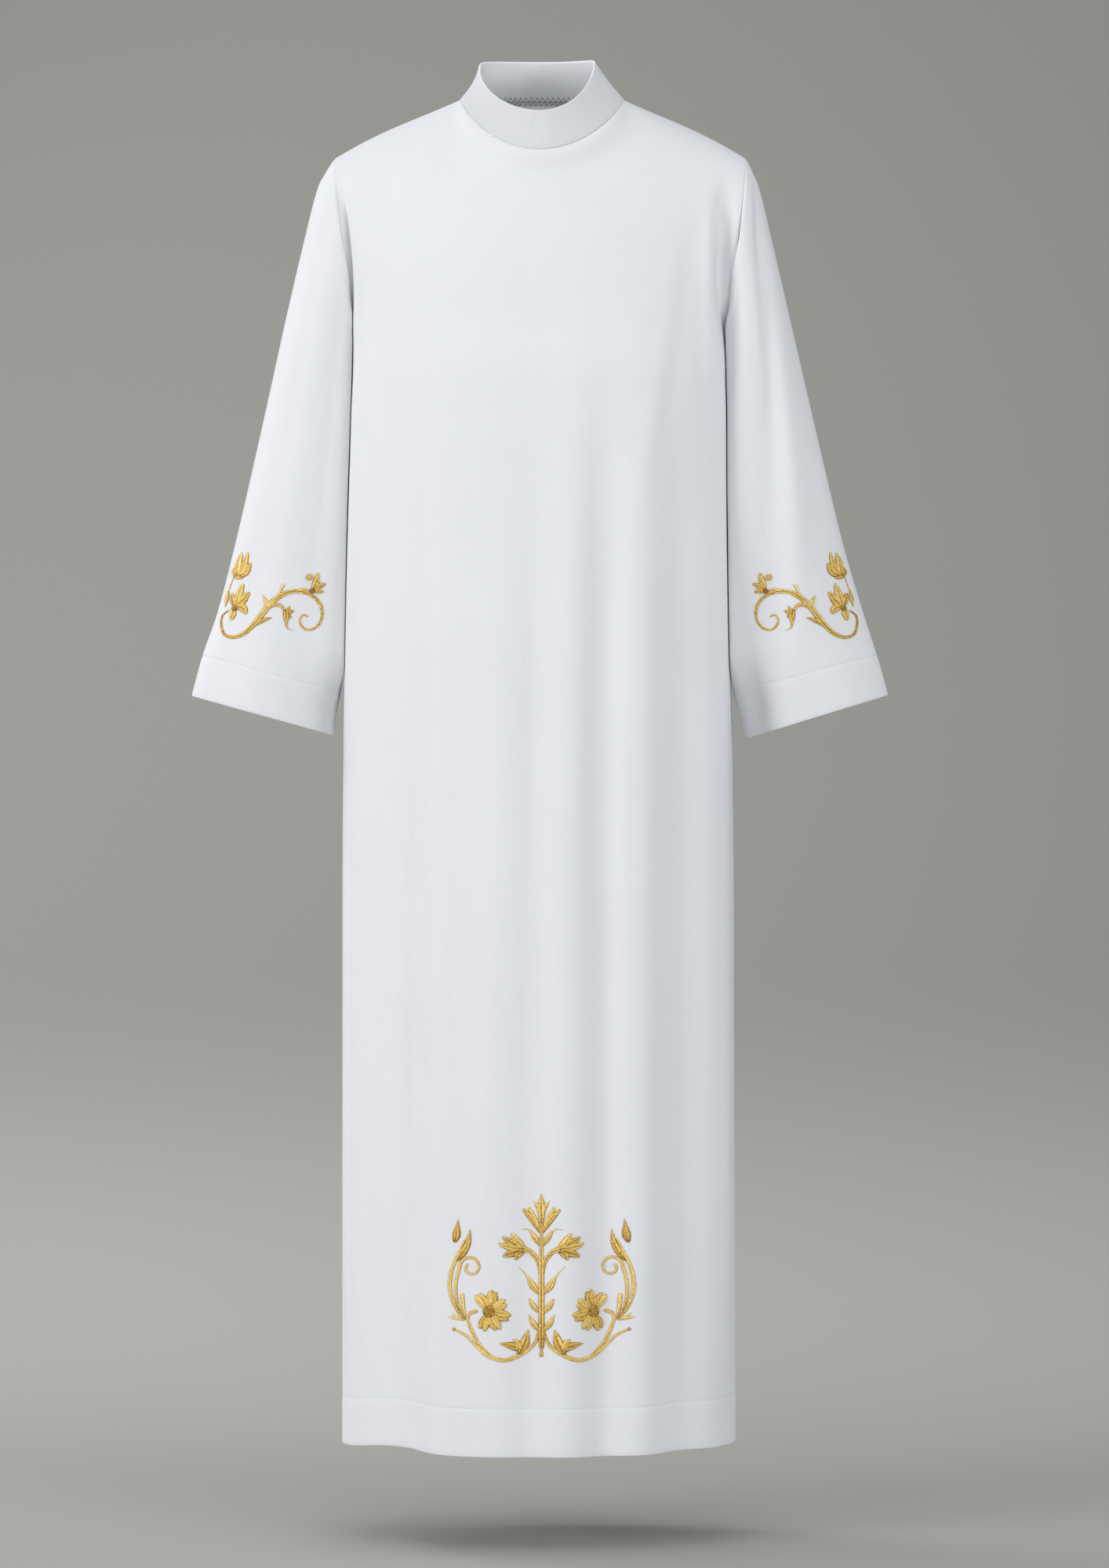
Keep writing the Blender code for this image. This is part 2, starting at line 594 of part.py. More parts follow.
def build_collar(collar, normals, seams):
    """The band is one wall: it stands a little proud of the panels and its two ends meet at the opening."""
    outer = collar + normals * COLLAR_PROUD
    inner = collar - normals * (COLLAR_CLOTH - COLLAR_PROUD)
    foot = np.concatenate([seams["neck", FRONT][::-1], seams["neck", BACK][1:]])
    outer[0] = collar[0] - mitred(foot, normals[0], COLLAR_PROUD)
    inner[0] = collar[0] + mitred(foot, normals[0], COLLAR_CLOTH - COLLAR_PROUD)
    up = pull_back(collar[0], foot, collar[1] - collar[0], SEAM_GAP)
    for face in (outer, inner):
        face[0] += up
        face[:, 0, 1] = np.minimum(face[:, 0, 1], -COLLAR_SLIT / 2)
        face[:, -1, 1] = np.maximum(face[:, -1, 1], COLLAR_SLIT / 2)
    cloth_wall("collar", outer, inner, closed=False)


def build_underlap(panels, normals):
    """A strip under the left shoulder seam, made from the panels' own points and moved in."""
    under_seam = slice(-SHOULDER_COLUMNS, -1)
    rows = []
    for side, reach in ((BACK, UNDERLAP_REACH[::-1]), (FRONT, UNDERLAP_REACH)):
        cloth, outwards = panels[side][:, under_seam], normals[side][:, under_seam]
        rows += [strip_row(cloth, outwards, distance) for distance in reach]
    ridge = (panels[FRONT][0, under_seam] + panels[BACK][0, under_seam]) / 2
    up = unit(normals[FRONT][0, under_seam] * np.array([1, 0, 1]))
    rows.insert(len(UNDERLAP_REACH), (ridge - up * 2 * SEAM_GAP, up))
    surface = np.stack([row[0] for row in rows])
    outwards = np.stack([row[1] for row in rows])
    outer = surface - outwards * (CLOTH + 2 * SEAM_GAP)
    cloth_wall("shoulder_underlap", outer, outer - outwards * UNDERLAP_CLOTH, closed=False)


def strip_row(cloth, outwards, distance):
    """A row of points that far down the cloth from its top edge, with the normals there."""
    steps = np.linalg.norm(np.diff(cloth, axis=0), axis=-1)
    reached = np.concatenate([np.zeros((1, steps.shape[1])), np.cumsum(steps, axis=0)])
    points = np.empty(cloth.shape[1:])
    facing = np.empty(cloth.shape[1:])
    for i in range(cloth.shape[1]):
        for axis in range(3):
            points[i, axis] = np.interp(distance, reached[:, i], cloth[:, i, axis])
            facing[i, axis] = np.interp(distance, reached[:, i], outwards[:, i, axis])
    return points, unit(facing)


def main():
    for old in list(bpy.data.objects):
        bpy.data.objects.remove(old)
    alb = bpy.data.collections.new("alb")
    bpy.context.scene.collection.children.link(alb)
    build_alb()


main()
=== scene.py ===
"""The looks of a long white alb: cloth shells on the plain solids, seams, hems, stitching and embroidery.

Metres, +Z up, the front faces -Y. Left and right are the wearer's, so the left side is at +X.
"""

from collections import namedtuple
from functools import lru_cache

import bmesh
import bpy
import numpy as np
from bpy.props import FloatProperty, FloatVectorProperty, PointerProperty
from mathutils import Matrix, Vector


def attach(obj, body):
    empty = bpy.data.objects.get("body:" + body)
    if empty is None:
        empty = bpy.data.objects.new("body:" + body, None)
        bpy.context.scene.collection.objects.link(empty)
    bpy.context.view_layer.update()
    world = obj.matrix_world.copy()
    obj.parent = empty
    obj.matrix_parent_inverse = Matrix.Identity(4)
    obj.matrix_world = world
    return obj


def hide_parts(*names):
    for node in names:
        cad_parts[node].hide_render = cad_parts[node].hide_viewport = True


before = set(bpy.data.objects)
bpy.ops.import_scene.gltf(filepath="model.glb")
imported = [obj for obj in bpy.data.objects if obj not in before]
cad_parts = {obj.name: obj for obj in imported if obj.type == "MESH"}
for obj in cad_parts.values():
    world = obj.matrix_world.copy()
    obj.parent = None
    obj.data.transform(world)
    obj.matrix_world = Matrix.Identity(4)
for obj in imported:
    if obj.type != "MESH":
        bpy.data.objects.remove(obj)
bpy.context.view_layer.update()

bl_info = {
    "name": "Embroidered Alb",
    "version": (1, 0, 0),
    "blender": (4, 5, 0),
    "location": "3D View > Sidebar > Alb",
    "description": "Makes the cloth, stitching and embroidery of a long white alb on its plain solids",
    "category": "Object",
}

# The solids' own sizes, repeated here because the cloth lies on them
SEAM_GAP = 0.0003
HEM_DROP = 1.472
HEM_DEPTH = 0.051
CUFF_DEPTH = 0.045
SHOULDER_TIP = {-1: 0.2240, 1: 0.2266}
SHOULDER_TIP_DROP = 0.0655
SHOULDER_BOW = 0.06
UNDERARM_DROP = 0.262
ARMHOLE_DEPTH = 0.062
ROUND_HANDLE = 4 / 3
NECK_HALF_WIDTH = {-1: 0.0860, 1: 0.0920}
NECK_FRONT = 0.085
NECK_BACK = 0.072
NECK_FRONT_DROP = 0.064
NECK_BACK_RISE = 0.006
NECK_DIP_POWER = 1.5
RIM_HALF_WIDTH = {-1: 0.0655, 1: 0.0605}
RIM_FRONT = 0.071
RIM_BACK = 0.062
RIM_SIDE_RISE = {-1: 0.0300, 1: 0.0375}
RIM_FRONT_DROP = 0.0215
RIM_BACK_RISE = 0.048
RIM_DIP_POWER = 1.15
RIM_BACK_POWER = 0.35
COLLAR_FLARE = {-1: 0.16, 1: 0.03}
COLLAR_PROUD = 0.0008
COLLAR_SLIT = 0.0008
CHEST_DIP = 0.060
CHEST_DIP_POWER = 8
CHEST_REACH = 0.10
YOKE_REACH = 0.030
YOKE_FALL = 0.042
YOKE_EASING = 30
ARMHOLE_TURN_POWER = 4
UNDERLAP_REACH = (0.004, 0.017)
UNDERLAP_CLOTH = 0.0009
# The underlap's places along the shoulder seam, as shares of it and their number, its rows on each side
# of the ridge, and how many of the panels' upper rows it is laid against
UNDERLAP_SHARES = (0.03, 0.90, 40)
UNDERLAP_ROWS = 5
UNDERLAP_PANEL_ROWS = 12
SOLID_CLOTH = 0.0014
YOKE_ROWS = 12
SHOULDER_COLUMNS = 11
NECK_COLUMNS = {"front": 18, "back": 14}

# The cloth's own grid
FINER = 4
PANEL_COLUMNS = 196
WAIST_DROP = 0.90
SKIRT_ROWS = 118
SLEEVE_STEP = 0.11
COLLAR_ROWS = 22
# Closer rows and columns: shares of the yoke's first row, metres in from a side seam, rings from the
# armhole, and metres past the top of a hem
YOKE_CLOSE = (0.25, 0.6)
SIDE_CLOSE = (0.0008, 0.0018)
ARMHOLE_CLOSE = (0, 0.02, 0.05)
HEM_CLOSE = (-0.0015, -0.0007, 0, 0.0007, 0.0015, 0.004)
# Even rows end this far above a hem's top and start again this far below it
ABOVE_HEM = 0.003
BELOW_HEM = 0.009
HEM_ROWS = 7
# The same for a sleeve's even rings, as shares of a ring
ABOVE_CUFF = 0.1
BELOW_CUFF = 0.3

# The cloth is pressed in along a seam and thinner there, pulled in by the hem's stitches, and a little
# proud below them, over these widths
SEAM_PRESS = 0.0005
SEAM_PRESS_WIDTH = 0.0024
PRESSED_CLOTH = 0.0004
STITCH_DIP = 0.00035
STITCH_DIP_WIDTH = 0.0009
HEM_PROUD = 0.00025
HEM_PROUD_WIDTH = 0.006
DOUBLED_EDGE = 0.0006

FRONT, BACK = -1, 1
RIGHT_ARM, LEFT_ARM = -1, 1
PANEL_NODES = {FRONT: "front_panel", BACK: "back_panel"}
SLEEVE_NODES = {RIGHT_ARM: "sleeve_right", LEFT_ARM: "sleeve_left"}

# A section of 2 is an ellipse, and a larger one is squarer.
BodySection = namedtuple("BodySection", "drop right left front back square")
BODY_SECTIONS = (
    BodySection(0.262, 0.2043, 0.2056, 0.124, 0.112, 3.0),
    BodySection(0.372, 0.2064, 0.2064, 0.130, 0.119, 2.8),
    BodySection(0.527, 0.2107, 0.2076, 0.134, 0.125, 2.6),
    BodySection(0.643, 0.2132, 0.2094, 0.136, 0.129, 2.5),
    BodySection(0.760, 0.2146, 0.2120, 0.137, 0.132, 2.4),
    BodySection(1.100, 0.2154, 0.2137, 0.139, 0.138, 2.3),
    BodySection(1.472, 0.2154, 0.2154, 0.140, 0.143, 2.2),
)

# A fold stands out where its height is positive and sinks where it is negative.
Fold = namedtuple("Fold", "across across_hem starts full height width")
FRONT_FOLDS = (
    Fold(-0.187, -0.191, 0.16, 0.60, 0.0046, 0.018),
    Fold(-0.160, -0.163, 0.18, 0.60, -0.0026, 0.020),
    Fold(-0.137, -0.139, 0.18, 0.60, -0.0050, 0.018),
    Fold(-0.100, -0.104, 0.22, 0.70, 0.0014, 0.024),
    Fold(-0.038, -0.046, 0.24, 0.80, 0.0026, 0.022),
    Fold(-0.002, -0.010, 0.24, 0.80, -0.0026, 0.019),
    Fold(0.040, 0.028, 0.20, 0.60, 0.0042, 0.022),
    Fold(0.076, 0.072, 0.22, 0.60, -0.0060, 0.019),
    Fold(0.112, 0.112, 0.18, 0.60, 0.0050, 0.021),
    Fold(0.149, 0.151, 0.16, 0.70, -0.0056, 0.017),
    Fold(0.180, 0.184, 0.20, 0.70, 0.0038, 0.016),
)
BACK_FOLDS = (
    Fold(-0.176, -0.180, 0.20, 0.70, 0.0036, 0.018),
    Fold(-0.136, -0.146, 0.22, 0.80, -0.0050, 0.021),
    Fold(-0.092, -0.104, 0.18, 0.60, 0.0054, 0.024),
    Fold(-0.048, -0.058, 0.20, 0.90, -0.0040, 0.020),
    Fold(-0.010, -0.014, 0.30, 1.00, 0.0034, 0.022),
    Fold(0.030, 0.034, 0.24, 0.80, -0.0046, 0.019),
    Fold(0.074, 0.082, 0.18, 0.60, 0.0058, 0.023),
    Fold(0.118, 0.126, 0.22, 0.80, -0.0048, 0.020),
    Fold(0.160, 0.166, 0.24, 0.80, 0.0034, 0.018),
)
Tuck = namedtuple("Tuck", "across starts deepest ends height width")
FRONT_TUCKS = (
    Tuck(0.2025, 0.080, 0.180, 0.300, -0.0140, 0.0095),
    Tuck(0.1850, 0.090, 0.200, 0.480, 0.0034, 0.0085),
    Tuck(-0.1930, 0.120, 0.200, 0.330, 0.0014, 0.0100),
)
# The front sinks beside the right armhole: how far in from the seam, how deep, how wide, and the drops
# where it starts, is full, falls off and is gone
ARMHOLE_TROUGH = (0.0075, -0.0085, 0.0060, (0.07, 0.15, 0.29, 0.42))
# The front turns more sharply towards the side seams: how far out, at which share across, how wide, and
# its drops
FRONT_CORNER = (0.0062, 0.735, 0.095, (0.22, 0.36, 1.25, 1.46))
# The back is fuller behind the left side seam: how far out, at which share across, how wide, and its drops
SIDE_FULLNESS = 0.0075
SIDE_FULLNESS_AT = 0.82
SIDE_FULLNESS_WIDTH = 0.10
SIDE_FULLNESS_DROPS = (0.24, 0.36, 0.70, 0.95)
# The hem is lifted here and there, over the lowest part of the skirt.
HEM_LIFT_REACH = 0.35
HemLift = namedtuple("HemLift", "across lift width")
FRONT_HEM_LIFTS = (HemLift(-0.165, 0.0075, 0.045), HemLift(0.190, 0.0040, 0.070))
BACK_HEM_LIFTS = (HemLift(-0.120, 0.0030, 0.060), HemLift(0.100, 0.0040, 0.050))

# Fine creases in the cloth: from one place to another, bowed sideways, shallow and soft. Each fades at
# both ends, over these shares of its length.
CREASE_FADES = (0, 0.35, 0.6, 1)
Crease = namedtuple("Crease", "x drop x_end drop_end bow height width")
FRONT_CREASES = (
    Crease(0.166, 0.110, 0.122, 0.420, 0.010, -0.0011, 0.011),
    Crease(0.150, 0.150, 0.093, 0.520, 0.006, 0.0009, 0.011),
    Crease(-0.176, 0.130, -0.150, 0.430, -0.004, -0.0008, 0.010),
    Crease(-0.190, 0.200, -0.194, 1.900, 0.001, 0.0026, 0.012),
    Crease(-0.141, 0.180, -0.143, 1.900, 0.002, -0.0036, 0.013),
    Crease(-0.109, 0.200, -0.114, 1.900, -0.001, 0.0006, 0.015),
    Crease(0.060, 0.260, 0.054, 0.980, 0.002, -0.0010, 0.010),
    Crease(0.094, 0.330, 0.091, 1.420, -0.002, 0.0010, 0.009),
    Crease(-0.020, 0.420, -0.026, 1.200, 0.002, 0.0006, 0.009),
    Crease(-0.090, 0.500, -0.094, 1.440, 0.002, -0.0007, 0.010),
    Crease(-0.056, 0.880, -0.060, 1.460, 0.001, 0.0007, 0.010),
    Crease(0.006, 0.760, 0.010, 1.460, -0.002, -0.0007, 0.009),
    Crease(0.131, 0.560, 0.134, 1.380, 0.002, -0.0009, 0.009),
    Crease(0.181, 0.300, 0.184, 1.900, 0.001, 0.0022, 0.014),
    Crease(0.194, 0.620, 0.196, 1.300, 0.001, 0.0010, 0.009),
    Crease(-0.196, 0.640, -0.198, 1.420, -0.001, 0.0008, 0.008),
)
BACK_CREASES = (
    Crease(-0.168, 0.120, -0.128, 0.460, -0.008, -0.0012, 0.012),
    Crease(0.172, 0.110, 0.136, 0.500, 0.008, -0.0012, 0.011),
    Crease(-0.070, 0.400, -0.080, 1.180, 0.003, 0.0010, 0.010),
    Crease(0.052, 0.360, 0.058, 1.240, -0.003, -0.0010, 0.010),
    Crease(0.098, 0.520, 0.106, 1.430, 0.002, 0.0009, 0.009),
    Crease(-0.112, 0.640, -0.120, 1.450, -0.002, -0.0009, 0.009),
    Crease(0.008, 0.560, 0.012, 1.340, 0.002, 0.0007, 0.010),
    Crease(-0.028, 0.820, -0.034, 1.460, 0.001, -0.0007, 0.009),
    Crease(0.142, 0.480, 0.146, 1.250, -0.002, -0.0009, 0.009),
    Crease(-0.190, 0.500, -0.192, 1.300, 0.001, 0.0009, 0.008),
)

SleeveRing = namedtuple("SleeveRing", "outer outer_drop inner inner_drop front back")
SLEEVE_RINGS = {
    RIGHT_ARM: (
        SleeveRing(0.2240, 0.0655, 0.2043, 0.2620, 0.062, 0.062),
        SleeveRing(0.2343, 0.0817, 0.2049, 0.2709, 0.064, 0.064),
        SleeveRing(0.2438, 0.1015, 0.2055, 0.2830, 0.066, 0.066),
        SleeveRing(0.2584, 0.1591, 0.2066, 0.3120, 0.069, 0.069),
        SleeveRing(0.2765, 0.2365, 0.2078, 0.3612, 0.070, 0.071),
        SleeveRing(0.2954, 0.3225, 0.2094, 0.4214, 0.069, 0.070),
        SleeveRing(0.3143, 0.4068, 0.2112, 0.4816, 0.067, 0.067),
        SleeveRing(0.3333, 0.4885, 0.2129, 0.5418, 0.063, 0.063),
        SleeveRing(0.3522, 0.5616, 0.2142, 0.5976, 0.059, 0.059),
        SleeveRing(0.3680, 0.6070, 0.2190, 0.6476, 0.056, 0.056),
        SleeveRing(0.3806, 0.6536, 0.2258, 0.6966, 0.053, 0.053),
    ),
    LEFT_ARM: (
        SleeveRing(0.2266, 0.0655, 0.2056, 0.2620, 0.062, 0.062),
        SleeveRing(0.2344, 0.0817, 0.2066, 0.2709, 0.064, 0.064),
        SleeveRing(0.2421, 0.1015, 0.2076, 0.2830, 0.066, 0.066),
        SleeveRing(0.2559, 0.1591, 0.2090, 0.3120, 0.069, 0.069),
        SleeveRing(0.2739, 0.2365, 0.2094, 0.3612, 0.070, 0.071),
        SleeveRing(0.2937, 0.3225, 0.2097, 0.4214, 0.069, 0.070),
        SleeveRing(0.3135, 0.4068, 0.2101, 0.4816, 0.067, 0.067),
        SleeveRing(0.3333, 0.4885, 0.2107, 0.5418, 0.063, 0.063),
        SleeveRing(0.3548, 0.5616, 0.2122, 0.5976, 0.059, 0.059),
        SleeveRing(0.3694, 0.6070, 0.2180, 0.6476, 0.056, 0.056),
        SleeveRing(0.3823, 0.6527, 0.2300, 0.6992, 0.053, 0.053),
    ),
}
ARMHOLE_EASE_RINGS = 2.5
# The front of a sleeve stands proud just outside its seam: how far, where and how wide in degrees, and the
# rings between which it does so
SLEEVE_ROLL = (0.0058, 98, 44, (0.0, 0.24, 0.5, 3.2))
# A sleeve is squarer where its front lies against the body: the power of the sine there, how near it
# comes to the body, and the rings and the degrees between which it lies so
SLEEVE_SQUARE = 0.42
SLEEVE_REST = 0.0013
SLEEVE_RESTS = (0.0, 1.2, 8.2, 9.6)
SLEEVE_REST_DEGREES = (118, 158, 180, 205)
# The front panel's cloth beside a sleeve: the share across where it begins, its drops, its depths, and how
# far behind the side seam it is still taken to reach, and the rings over which a sleeve heeds it
BESIDE_SHARE = 0.5
BESIDE_DROPS = (0.08, 0.75, 135)
BESIDE_DEPTHS = (-0.10, 0.0, 51)
BESIDE_SEAM = 0.004
BESIDE_EASE = (0.03, 0.3)
# The ring of the finer grid whose girth gives the places round the cloth
SLEEVE_GIRTH_RING = 40

# Folds along a sleeve: degrees round it from the outer edge, forwards first.
SleeveFold = namedtuple("SleeveFold", "degrees degrees_end starts full height width")
SLEEVE_FOLDS = {
    RIGHT_ARM: (
        SleeveFold(75, 80, 2.0, 6.0, 0.0022, 18),
        SleeveFold(122, 126, 3.0, 7.0, -0.0026, 16),
        SleeveFold(152, 156, 2.5, 6.0, 0.0020, 12),
        SleeveFold(235, 235, 1.5, 5.0, -0.0044, 18),
        SleeveFold(280, 280, 2.0, 6.0, 0.0034, 20),
    ),
    LEFT_ARM: (
        SleeveFold(14, 116, 2.5, 5.0, 0.0030, 16),
        SleeveFold(22, 152, 0.8, 3.0, -0.0058, 16),
        SleeveFold(88, 178, 0.8, 3.5, 0.0042, 18),
        SleeveFold(228, 228, 1.5, 5.0, 0.0034, 20),
        SleeveFold(272, 272, 1.5, 5.0, -0.0048, 18),
    ),
}

# Fine creases of the sleeves: from one ring and degree to another, and how high and wide in degrees.
SleeveCrease = namedtuple("SleeveCrease", "ring degrees ring_end degrees_end height width")
SLEEVE_CREASES = {
    RIGHT_ARM: (
        SleeveCrease(0.8, 56, 5.6, 70, -0.0008, 10),
        SleeveCrease(3.0, 140, 8.0, 150, -0.0008, 10),
        SleeveCrease(1.0, 300, 5.2, 292, -0.0012, 8),
        SleeveCrease(2.0, 252, 7.0, 258, 0.0010, 8),
        SleeveCrease(3.2, 214, 8.0, 212, -0.0010, 8),
    ),
    LEFT_ARM: (
        SleeveCrease(5.0, 40, 9.0, 62, -0.0008, 10),
        SleeveCrease(4.5, 18, 8.4, 26, 0.0007, 9),
        SleeveCrease(1.0, 306, 5.4, 300, -0.0012, 8),
        SleeveCrease(2.0, 248, 7.2, 250, -0.0010, 8),
        SleeveCrease(3.4, 206, 8.0, 204, 0.0009, 8),
    ),
}

# A strand of embroidery runs through its points, in millimetres, with its widths spread along it.
# A deeper groove parts it into two rows of stitches. Its tone is 0 for bright and 1 for dark thread.
Strand = namedtuple("Strand", "points widths groove tone", defaults=(0.3, 0.25))

# The hem motif: x from its middle, y up from its foot. The side strands are made on both sides.
HEM_MIDDLE = (0.0028, -1.3652)
HEM_STEM = (
    Strand(((0, 9), (0, 40), (0, 90), (0, 120), (0, 150)), (6.8, 6.6, 6.0, 4.2, 3.2), 0.6),
    Strand(((0, 13), (0, 7), (0, 0)), (2.4, 3.0, 5.6), 0.2, 0.5),
    Strand(((0, 142), (0, 160), (0, 176)), (3.2, 9.4, 0.6), 0.45, 0.2),
)
HEM_SIDE = (
    Strand(((0, 152), (4, 161), (9, 168)), (3.4, 5.0, 0.6)),
    Strand(((1, 133), (9, 146), (20, 159)), (3.0, 6.4, 3.6), 0.3, 0.4),
    Strand(((1, 134), (7, 147), (14, 161)), (3.0, 5.8, 3.2)),
    Strand(((1, 119), (7, 128), (13, 137)), (2.6, 6.2, 1.2)),
    Strand(((9, 132), (15, 137), (23, 137)), (1.6, 1.2, 0.4), 0.0),
    Strand(((1, 88), (4, 103), (12, 113), (24, 118)), (4.2, 4.8, 5.4, 6.0), 0.55),
    Strand(((17, 116), (25, 123), (32, 133)), (5.0, 9.0, 3.0), 0.35),
    Strand(((18, 117), (30, 122), (42, 129)), (5.0, 8.6, 3.0), 0.35, 0.45),
    Strand(((18, 116), (33, 118), (46, 122)), (6.0, 9.4, 3.0), 0.35, 0.25),
    Strand(((19, 115), (31, 112), (41, 108)), (5.0, 9.6, 4.0), 0.35, 0.5),
    Strand(((18, 114), (25, 110), (28, 104)), (5.0, 8.4, 3.0), 0.35, 0.4),
    Strand(((1, 67), (9, 76), (16, 88)), (3.0, 7.8, 1.6)),
    Strand(((13, 82), (18, 90), (26, 98)), (1.8, 1.3, 0.4), 0.0),
    Strand(((1, 47), (8, 54), (14, 64)), (2.6, 6.4, 0.8)),
    Strand(((1, 27), (8, 35), (14, 46)), (2.6, 6.4, 0.8)),
    Strand(
        ((2, 42), (3, 27), (8, 14), (22, 3), (40, -3), (56, 1), (70, 12), (80, 22), (93, 29)),
        (2.6, 3.2, 3.8, 4.2, 4.4, 4.2, 3.6, 3.0, 2.6),
        0.3,
    ),
    Strand(((92, 28), (95, 30)), (4.2, 4.2), 0.0, 0.7),
    Strand(((25, 2), (19, 13), (14, 30)), (6.0, 11.4, 1.0), 0.35, 0.4),
    Strand(((22, 8), (31, 12), (45, 15)), (9.0, 8.0, 0.8), 0.35, 0.45),
    Strand(((24, 6), (26, 15), (31, 20)), (6.0, 8.0, 1.4), 0.3, 0.3),
    Strand(((50, -2), (66, 13), (75, 29), (80, 43)), (2.2, 3.6, 4.4, 3.0), 0.4),
    Strand(((79, 36), (77, 46), (68, 50)), (2.4, 3.8, 4.8)),
    Strand(((81, 40), (84, 54), (85, 68)), (2.0, 4.6, 5.0), 0.2),
    Strand(((82, 39), (90, 41), (100, 42)), (1.8, 3.8, 0.6), 0.0),
    Strand(((86, 40), (91, 43), (96, 47)), (1.4, 2.4, 0.5), 0.0),
    Strand(
        ((81, 39), (90, 49), (95, 60), (98, 73), (97, 88), (92, 103), (85, 118)),
        (1.6, 3.2, 4.2, 4.4, 4.2, 4.0, 3.2),
        0.3,
    ),
    Strand(((91, 102), (84, 111), (79, 121), (76, 137)), (3.0, 7.6, 6.4, 0.5), 0.3, 0.45),
    Strand(((87, 115), (82, 125), (75, 132)), (2.0, 1.6, 0.4), 0.0),
    Strand(((93, 122), (91, 130), (90, 138), (89, 148)), (4.4, 9.4, 4.8, 0.4), 0.2, 0.55),
)
# A volute: the strand's first points, then a spiral about a middle: radii, and degrees at its ends
VOLUTE_POINTS = 12
VOLUTE_GROOVE = 0.2
Volute = namedtuple("Volute", "lead middle radii degrees widths tone", defaults=(0.3,))
HEM_VOLUTE = Volute(
    ((83, 41), (89, 54), (91.5, 68), (91, 82), (88, 94)),
    (75.5, 96),
    (11.6, 4.4),
    (36, 418),
    (1.2, 3.0, 3.4, 3.4, 3.0, 2.8, 3.0),
)
# A flower: its middle, petal length and width, the first petal's turn and the step to the next in
# degrees, how many petals, and the radius of its heart
Flower = namedtuple("Flower", "middle length width first step petals heart")
HEM_FLOWER = Flower((56, 49), 23.0, 9.0, 56, 47, 6, 6.6)

# The cuff motif: x inwards from the sleeve's outer side and y up, both as seen from the front
CUFF_CORNER = (0.3605, -0.5962)
CUFF_PLACING_ROUNDS = 6
CUFF_PLACING_SHARE = 0.8
CUFF_PLACING_RINGS = (6, 10, 161)
CUFF_STRANDS = (
    Strand(
        (
            (23, 35), (15, 29), (14, 17), (18, 8), (27, 5), (38, 8), (50, 18), (60, 30), (69, 41),
            (79, 49), (91, 54), (103, 54), (114, 50), (122, 42), (125, 31), (122, 20), (115, 14),
            (108, 13), (102, 18), (101, 25), (105, 29), (110, 27),
        ),
        (
            1.6, 2.6, 3.2, 3.6, 4.2, 5.0, 5.6, 6.4, 6.6, 6.0, 5.6,
            5.0, 4.4, 4.2, 3.8, 3.4, 3.0, 2.8, 2.6, 2.4, 2.4,
        ),
        0.55,
    ),
    Strand(((52, 20), (62, 33), (72, 43), (84, 50)), (1.6, 3.0, 3.0, 1.4), 0.2, 0.1),
    Strand(((95, 54), (105, 57), (112, 56)), (1.6, 3.0, 3.0), 0.2),
    Strand(((65, 35), (64, 43), (60, 51)), (5.4, 4.6, 0.7), 0.3, 0.2),
    Strand(((76, 47), (80, 55), (83, 62)), (2.0, 2.4, 4.0), 0.1),
    Strand(((82, 58), (84, 61), (86, 63)), (1.2, 2.2, 0.7), 0.1),
    Strand(((50, 17), (61, 23), (71, 26)), (3.0, 5.0, 1.2), 0.3, 0.45),
    Strand(((66, 36), (74, 40), (80, 39), (84, 34)), (3.0, 4.4, 4.4, 3.6), 0.4),
    Strand(((84, 36), (86, 29), (86, 21), (87, 15), (94, 12)), (3.0, 7.6, 4.0, 1.4, 0.4), 0.35, 0.4),
    Strand(((86, 29), (88, 34), (90, 39)), (3.0, 4.4, 0.8), 0.3, 0.5),
    Strand(((86, 30), (91, 32), (95, 34)), (3.4, 4.8, 1.0), 0.3, 0.5),
    Strand(((86, 27), (90, 27), (92, 26)), (3.0, 4.6, 1.4), 0.3, 0.55),
    Strand(((28, 72), (24, 62), (21, 53), (21, 44)), (1.0, 1.4, 1.6, 1.4), 0.0, 0.35),
    Strand(((22, 58), (20, 48), (18, 38)), (1.2, 5.0, 0.6), 0.25, 0.25),
    Strand(((32, 71), (33, 84), (37, 98)), (5.0, 8.4, 2.4), 0.3, 0.2),
    Strand(((34, 71), (40, 84), (44, 98)), (5.0, 7.6, 2.8), 0.3, 0.3),
    Strand(((34, 71), (42, 77), (47, 86)), (7.0, 9.6, 4.4), 0.3, 0.35),
    Strand(((32, 71), (28, 76), (30, 83)), (6.0, 7.4, 1.8), 0.3, 0.45),
    Strand(((27, 73), (33, 70), (40, 71)), (2.6, 4.0, 2.4), 0.1, 0.4),
    Strand(((30, 38), (34, 50), (39, 64)), (5.4, 9.4, 3.0), 0.35, 0.2),
    Strand(((30, 38), (38, 45), (46, 54)), (5.4, 10.4, 4.4), 0.35, 0.35),
    Strand(((30, 38), (38, 37), (43, 30)), (5.4, 10.4, 5.0), 0.35, 0.3),
    Strand(((29, 37), (27, 30), (25, 23)), (5.0, 9.0, 3.0), 0.35, 0.25),
    Strand(((29, 38), (27, 47), (25, 54)), (5.0, 8.6, 3.4), 0.35, 0.4),
    Strand(((114, 56), (118, 65), (121, 75)), (3.4, 7.4, 2.8), 0.35, 0.3),
    Strand(((114, 56), (121, 60), (129, 63)), (3.4, 6.8, 2.8), 0.35, 0.4),
    Strand(((114, 56), (120, 55), (127, 54)), (3.4, 6.2, 2.2), 0.35, 0.35),
)
# The knots of the cuff motif: x, y, radius and tone
CUFF_KNOTS = ((29, 36, 3.0, 0.8), (114, 55, 2.8, 0.9), (111, 70, 3.6, 0.35))


# Curves and soft steps

